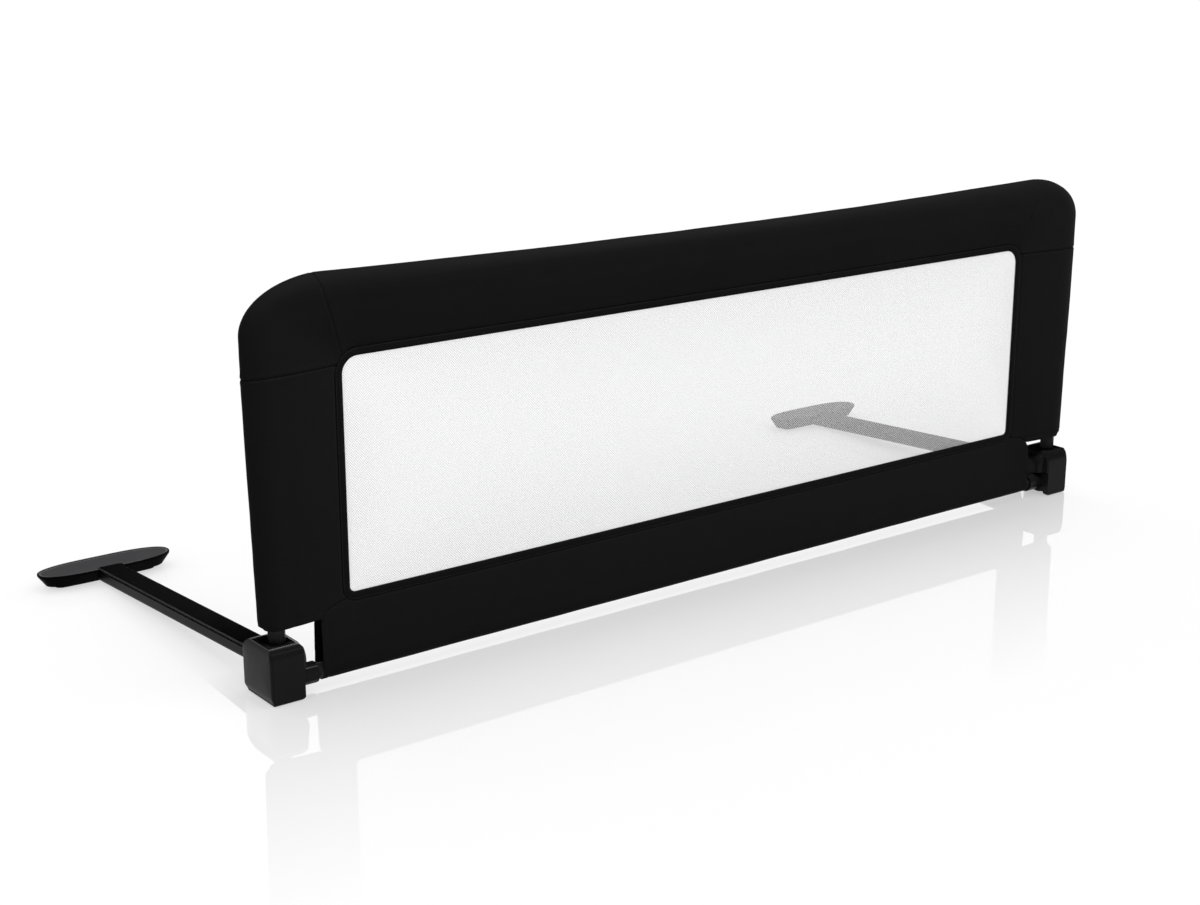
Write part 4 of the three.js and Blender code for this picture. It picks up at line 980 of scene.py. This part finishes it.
def casing_envelope():
    """Prism with the casing's full roundings, as seen from the side."""
    bm = bmesh.new()
    front, back = CASING_FRONT + ENVELOPE_INSET, CASING_BACK - ENVELOPE_INSET
    low, top = ENVELOPE_INSET, CASING_HEIGHT - ENVELOPE_INSET
    outline = round_outline([
        (front, low, LOW_FRONT_ROUND),
        (back, low, LOW_BACK_ROUND),
        (back, top, TOP_BACK_ROUND),
        (front, top, TOP_FRONT_ROUND),
    ])
    reach = HALF_PITCH + ENVELOPE_BEYOND
    ring = [bm.verts.new(at(-reach, y, z)) for y, z in outline]
    face = bm.faces.new(ring)
    swept = bmesh.ops.extrude_face_region(bm, geom=[face])
    moved = [part for part in swept["geom"] if isinstance(part, bmesh.types.BMVert)]
    bmesh.ops.translate(bm, verts=moved, vec=(2 * reach * MM, 0, 0))
    bmesh.ops.recalc_face_normals(bm, faces=bm.faces)
    return keep_mesh(bm, "casing envelope", CASING)


def reshape(mesh, form):
    """Changes a mesh by a function of its bmesh."""
    bm = bmesh.new()
    bm.from_mesh(mesh)
    form(bm)
    bm.to_mesh(mesh)
    bm.free()


def clean_cut(bm):
    """Joins the points that a cut leaves close together."""
    bmesh.ops.remove_doubles(bm, verts=bm.verts, dist=0.00002)
    bmesh.ops.dissolve_degenerate(bm, edges=bm.edges, dist=0.00001)
    shade_smooth(bm)


def rounded_by(piece, envelope):
    """Cuts a piece back to the envelope."""
    cut = piece.modifiers.new("rounding", "BOOLEAN")
    cut.operation = "INTERSECT"
    cut.solver = "EXACT"
    cut.object = envelope
    bpy.context.view_layer.update()
    whole = bpy.data.meshes.new_from_object(piece.evaluated_get(bpy.context.evaluated_depsgraph_get()))
    piece.modifiers.remove(cut)
    plain = piece.data
    piece.data = whole
    bpy.data.meshes.remove(plain)
    whole.name = piece.name
    reshape(whole, clean_cut)


def narrow_ends(vert):
    """Draws the outer side in at the casing's low and top ends, and the shoulder in above the socket."""
    side = math.copysign(1, vert.co.x)
    outboard = abs(vert.co.x) / MM - HALF_PITCH
    height = vert.co.z / MM
    behind = vert.co.y / MM + PANEL_Y - CASING_FRONT
    share = smooth((outboard - END_SHARE_START) / END_SHARE_RUN)
    if height < LOW_END:
        vert.co.x -= side * LOW_NARROWING * (1 - height / LOW_END) ** 2 * share * MM
    if height > TOP_END:
        vert.co.x -= side * TOP_NARROWING * ((height - TOP_END) / (CASING_HEIGHT - TOP_END)) ** 2 * share * MM
    reach = -outboard - SHOULDER_INNER
    if reach > 0 and height > SHOULDER_START:
        share = reach / (SHOULDER_OUTER - SHOULDER_INNER) * (1 - smooth((behind - SHOULDER_DEPTH) / SHOULDER_DEPTH))
        vert.co.x += side * SHOULDER_LEAN * ((height - SHOULDER_START) / SHOULDER_RISE) ** 2 * share * MM


def lean_front(bm):
    """Curves the upper part of the casing's front back towards the upright."""
    for level in LEAN_LEVELS:
        cut_level(bm, at(0, 0, level), (0, 0, 1))
    for depth in LEAN_DEPTHS:
        cut_level(bm, at(0, CASING_FRONT + depth, 0), (0, 1, 0))
    radius = ((CASING_HEIGHT - LEAN_START) ** 2 + LEAN**2) / (2 * LEAN)
    for vert in bm.verts:
        narrow_ends(vert)
        above = vert.co.z / MM - LEAN_START
        behind = vert.co.y / MM + PANEL_Y - CASING_FRONT
        if above > 0 and behind < LEAN_DEPTH:
            back = radius - math.sqrt(radius**2 - above**2)
            vert.co.y += back * (1 - max(behind, 0) / LEAN_DEPTH) * MM


def crown_plate(bm):
    """Swells the middle of the casing's outer plate."""
    lean_front(bm)
    levels, depths = 12, 6
    for step in range(1, levels):
        cut_level(bm, at(0, 0, CASING_HEIGHT * step / levels), (0, 0, 1))
    for step in range(1, depths):
        cut_level(bm, at(0, CASING_FRONT + (CASING_BACK - CASING_FRONT) * step / depths, 0), (0, 1, 0))
    for vert in bm.verts:
        x, y, z = vert.co.x / MM, vert.co.y / MM + PANEL_Y, vert.co.z / MM
        beyond = abs(x) - HALF_PITCH - CASING_SPLIT - CROWN_START
        if beyond > 0:
            upright = abs(2 * z / CASING_HEIGHT - 1) ** 2.5
            level = abs((2 * y - CASING_FRONT - CASING_BACK) / (CASING_BACK - CASING_FRONT)) ** 3
            inward = PLATE_CROWN * max(upright, level * 0.5) * min(beyond / CROWN_RUN, 1)
            vert.co.x -= math.copysign(inward * MM, x)


def groove_leg(bm):
    """Presses a shallow groove along both sides of the leg."""
    near = min(vert.co.y for vert in bm.verts)
    far = max(vert.co.y for vert in bm.verts)
    ends = [[vert.co for vert in bm.verts if abs(vert.co.y - y) < 3 * MM] for y in (near, far)]
    start, end = (sum(end, Vector()) / len(end) for end in ends)
    middle = (min(vert.co.x for vert in bm.verts) + max(vert.co.x for vert in bm.verts)) / 2
    along = end - start
    up = Vector((0, -along.z, along.y)).normalized()
    for level in GROOVE_LEVELS:
        cut_level(bm, start + up * level * MM, up)
    outside = (LEG_HALF_WIDTH - SIDE_BAND) * MM
    for edge in bm.edges:
        heights = [(vert.co - start).dot(up) / MM for vert in edge.verts]
        beside = min(abs(vert.co.x - middle) for vert in edge.verts)
        along_groove = any(max(abs(height - level) for height in heights) < ON_LEVEL for level in GROOVE_LEVELS)
        if beside > outside and along_groove:
            edge.smooth = False
    for vert in bm.verts:
        offset = vert.co.x - middle
        if abs((vert.co - start).dot(up) / MM - GROOVE_LEVELS[1]) < ON_LEVEL and abs(offset) > outside:
            vert.co.x -= math.copysign(GROOVE * MM, offset)


def widen_collar(bm):
    """Sets the ring lower in its pocket and leaves a deep gap between it and the tube."""
    for vert in bm.verts:
        vert.co.z = min(vert.co.z, (CASING_HEIGHT - COLLAR_DROP) * MM)
        centre = at(math.copysign(HALF_PITCH, vert.co.x), 0, vert.co.z / MM)
        spoke = vert.co - centre
        if spoke.length < COLLAR_BORE * MM:
            vert.co = centre + spoke.normalized() * COLLAR_BORE * MM


def oval_foot(bm):
    """Draws the foot's straight sides in to a long oval, clear of the leg."""
    centre = math.copysign(FOOT_CENTRE[0], sum(vert.co.x for vert in bm.verts))
    for step in range(-10, 11):
        cut_level(bm, Vector((centre + step * FOOT_CUT, 0, 0)), (1, 0, 0))
    for vert in bm.verts:
        out = min(abs(vert.co.x - centre), FOOT_HALF_LENGTH)
        past = max(out - FOOT_HALF_LENGTH + FOOT_HALF_WIDTH, 0)
        straight = math.sqrt(max(FOOT_HALF_WIDTH**2 - past**2, 0))
        turn = max(out - FOOT_STRAIGHT, 0) / (FOOT_HALF_LENGTH - FOOT_STRAIGHT)
        oval = FOOT_HALF_WIDTH * (1 - turn**FOOT_FULLNESS) ** (1 / FOOT_FULLNESS)
        share = min(oval / straight, 1) if straight > 1e-5 else TIP_SHARE
        vert.co.y = FOOT_CENTRE[1] + (vert.co.y - FOOT_CENTRE[1]) * share


def shade_foot_wall(piece, material):
    """Gives the foot's sides and underside a far darker, smoother finish: the darkness is painted shade."""
    piece.data.materials.append(material)
    for face in piece.data.polygons:
        if face.normal.z < FACING_UP:
            face.material_index = 1


def dressed(node, name, body, slot_name, material, edge=0.0, form=None, envelope=None):
    """A merged copy of a CAD node with its edges rounded by a width, which stands for the node."""
    bm = bmesh.new()
    bm.from_mesh(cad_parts[node].data)
    bmesh.ops.remove_doubles(bm, verts=bm.verts, dist=MERGE)
    bmesh.ops.dissolve_limit(bm, angle_limit=math.radians(FLAT), verts=bm.verts, edges=bm.edges)
    shade_smooth(bm)
    for layer in list(bm.loops.layers.uv.values()):
        bm.loops.layers.uv.remove(layer)
    piece = keep_mesh(bm, name, material)
    if envelope:
        rounded_by(piece, envelope)
    if form:
        reshape(piece.data, form)
    if edge:
        bevel = piece.modifiers.new("edges", "BEVEL")
        bevel.limit_method = "ANGLE"
        bevel.angle_limit = math.radians(CRISP)
        bevel.width = edge * MM
        bevel.segments = 3
        weighted = piece.modifiers.new("shading", "WEIGHTED_NORMAL")
        weighted.keep_sharp = True
    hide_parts(node)
    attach(piece, body)
    return piece


rounding = casing_envelope()
# CAD node, piece, body, slot, finish, edge width, form and envelope
RIGID = (
    ("casing_body", "casing_shell", "guard", "casing", CASING, 0.6, lean_front, rounding),
    ("casing_cover", "casing_plate", "guard", "casing", CASING, 0.6, crown_plate, rounding),
    ("tube_collar", "collar_ring", "guard", "casing", RUBBER, 0.3, widen_collar),
    ("hinge_bracket", "bracket_moulding", "base", "moulding", INNER, 0.5),
    ("leg_tube", "leg_bar", "base", "leg", LEG, 0.2, groove_leg),
    ("foot_plate", "foot_moulding", "base", "foot", FOOT, 0.5, oval_foot),
    ("foot_sole", "sole_pad", "base", "rubber", RUBBER, 0.6, oval_foot),
    ("upright_tube", "upright_pipe", "guard", "tube", TUBE),
    ("crossbar", "crossbar_pipe", "guard", "tube", TUBE),
)
for side_name, _ in SIDES:
    for stem, name, *looks in RIGID:
        piece = dressed(f"{stem}_{side_name}", f"{name}_{side_name}", *looks)
        if stem == "foot_plate":
            # painted shade on the foot's sides and underside
            shade_foot_wall(piece, SHADED_FOOT_WALL)

bpy.data.objects.remove(rounding)

# Each return spring, which shortens between the casing's floor and the pin as the guard is lifted, gets a mesh of
# its own
for side_name, _ in SIDES:
    spring = dressed(f"lift_spring_{side_name}", f"return_spring_{side_name}", "guard", "steel", STEEL)
    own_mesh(spring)


def paint(node, material):
    """Gives a CAD node its finish."""
    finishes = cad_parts[node].data.materials
    finishes.clear()
    finishes.append(material)


PLAIN = {
    "casing_screw_high": BLACKED, "casing_screw_low": BLACKED, "hinge_pin": STEEL,
    "bracket_screw": STEEL, "foot_screw": STEEL, "crossbar_screw": BLACKED,
    "upright_plug": INNER, "top_joint_spigot": INNER,
}
for stem, material in PLAIN.items():
    for side_name, _ in SIDES:
        paint(f"{stem}_{side_name}", material)
paint("top_tube", TUBE)
paint("crossbar_spigot", INNER)


# Stage, light and camera


def ramp(tree, value, start, end, lowest=0.0):
    """Share that rises from lowest at start to 1 at end."""
    node = tree.nodes.new("ShaderNodeMapRange")
    set_inputs(node, {"From Min": start, "From Max": end, "To Min": lowest})
    tree.links.new(value, node.inputs["Value"])
    return node.outputs["Result"]


def make_floor_finish():
    """Pale floor with a mirror coat that fades towards the front and behind the guard."""
    material, tree, shader, coordinates = new_material("white floor")
    set_inputs(shader, {
        "Base Color": (0.38, 0.38, 0.38, 1), "Specular IOR Level": 0.0, "Roughness": 1.0,
        "Coat IOR": 1.8, "Coat Roughness": 0.0,
        "Emission Color": (1, 1, 1, 1), "Emission Strength": 0.6,
    })
    parts = tree.nodes.new("ShaderNodeSeparateXYZ")
    tree.links.new(coordinates.outputs["Object"], parts.inputs[0])
    front = ramp(tree, parts.outputs["Y"], -0.8, -0.33)
    behind = ramp(tree, parts.outputs["Y"], -0.16, -0.26, lowest=0.08)
    tree.links.new(math_node(tree, "MULTIPLY", front, behind), shader.inputs["Coat Weight"])
    return material


def glowing(name, strength):
    """A plain white light source."""
    material = bpy.data.materials.new(name)
    material.use_nodes = True
    tree = material.node_tree
    tree.nodes.remove(tree.nodes["Principled BSDF"])
    glow = tree.nodes.new("ShaderNodeEmission")
    glow.inputs["Strength"].default_value = strength
    tree.links.new(glow.outputs[0], tree.nodes["Material Output"].inputs["Surface"])
    return material


FLOOR_RADIUS = 14.0
ROOM = 26.0
ROOM_MIDDLE = 12.9  # its lowest wall lies just below the floor

bm = bmesh.new()
bmesh.ops.create_circle(bm, cap_ends=True, segments=64, radius=FLOOR_RADIUS)
floor = keep_mesh(bm, "floor", make_floor_finish())

bm = bmesh.new()
bmesh.ops.create_cube(bm, size=ROOM, matrix=Matrix.Translation((0, 0, ROOM_MIDDLE)))
bmesh.ops.reverse_faces(bm, faces=bm.faces)
backdrop = keep_mesh(bm, "backdrop", glowing("white room", 1.1))
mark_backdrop(floor, backdrop)


def lit_pieces(name, pieces):
    """A collection of the pieces that a light reaches."""
    reached = bpy.data.collections.new(name)
    bpy.context.scene.collection.children.link(reached)
    for piece in pieces:
        reached.objects.link(piece)
    return reached


backdrop.light_linking.receiver_collection = lit_pieces("lit by the room", (floor, yarns))
lit_by_lamps = lit_pieces("lit by the lamps", [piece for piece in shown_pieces() if piece != yarns])


def lamp(name, place, target, size, power):
    """A soft area lamp that shines on the guard alone."""
    data = bpy.data.lights.new(name, "AREA")
    data.shape = "RECTANGLE"
    data.size, data.size_y = size
    data.energy = power
    light = bpy.data.objects.new(name, data)
    bpy.context.scene.collection.objects.link(light)
    light.location = place
    light.rotation_euler = (Vector(target) - Vector(place)).to_track_quat("-Z", "Y").to_euler()
    light.light_linking.receiver_collection = lit_by_lamps


lamp("overhead", place=(0.2, -0.9, 2.6), target=(0, -0.1, 0.2), size=(3.2, 0.2), power=120)
lamp("left", place=(-3.2, -0.4, 1.7), target=(-0.6, 0.0, 0.2), size=(1.6, 0.5), power=15)
lamp("back left", place=(-1.8, 2.5, 1.2), target=(-0.72, 0.0, 0.04), size=(1.3, 0.6), power=14)
lamp("front", place=(0.4, -3.4, 1.3), target=(0, -0.3, 0.25), size=(3.0, 0.7), power=16)

world = bpy.data.worlds.new("dim room")
world.use_nodes = True
world.node_tree.nodes["Background"].inputs["Color"].default_value = (0.02, 0.02, 0.02, 1)
bpy.context.scene.world = world

view = bpy.data.cameras.new("camera")
view.lens = 58.0
view.sensor_width = 36.0
view.clip_end = 60.0
camera = bpy.data.objects.new("camera", view)
bpy.context.scene.collection.objects.link(camera)
camera.location = (-1.7429, -2.2799, 0.9558)
camera.rotation_euler = (math.radians(73.898), 0, math.radians(-37.299))
bpy.context.scene.camera = camera
bpy.context.scene.view_settings.view_transform = "Standard"
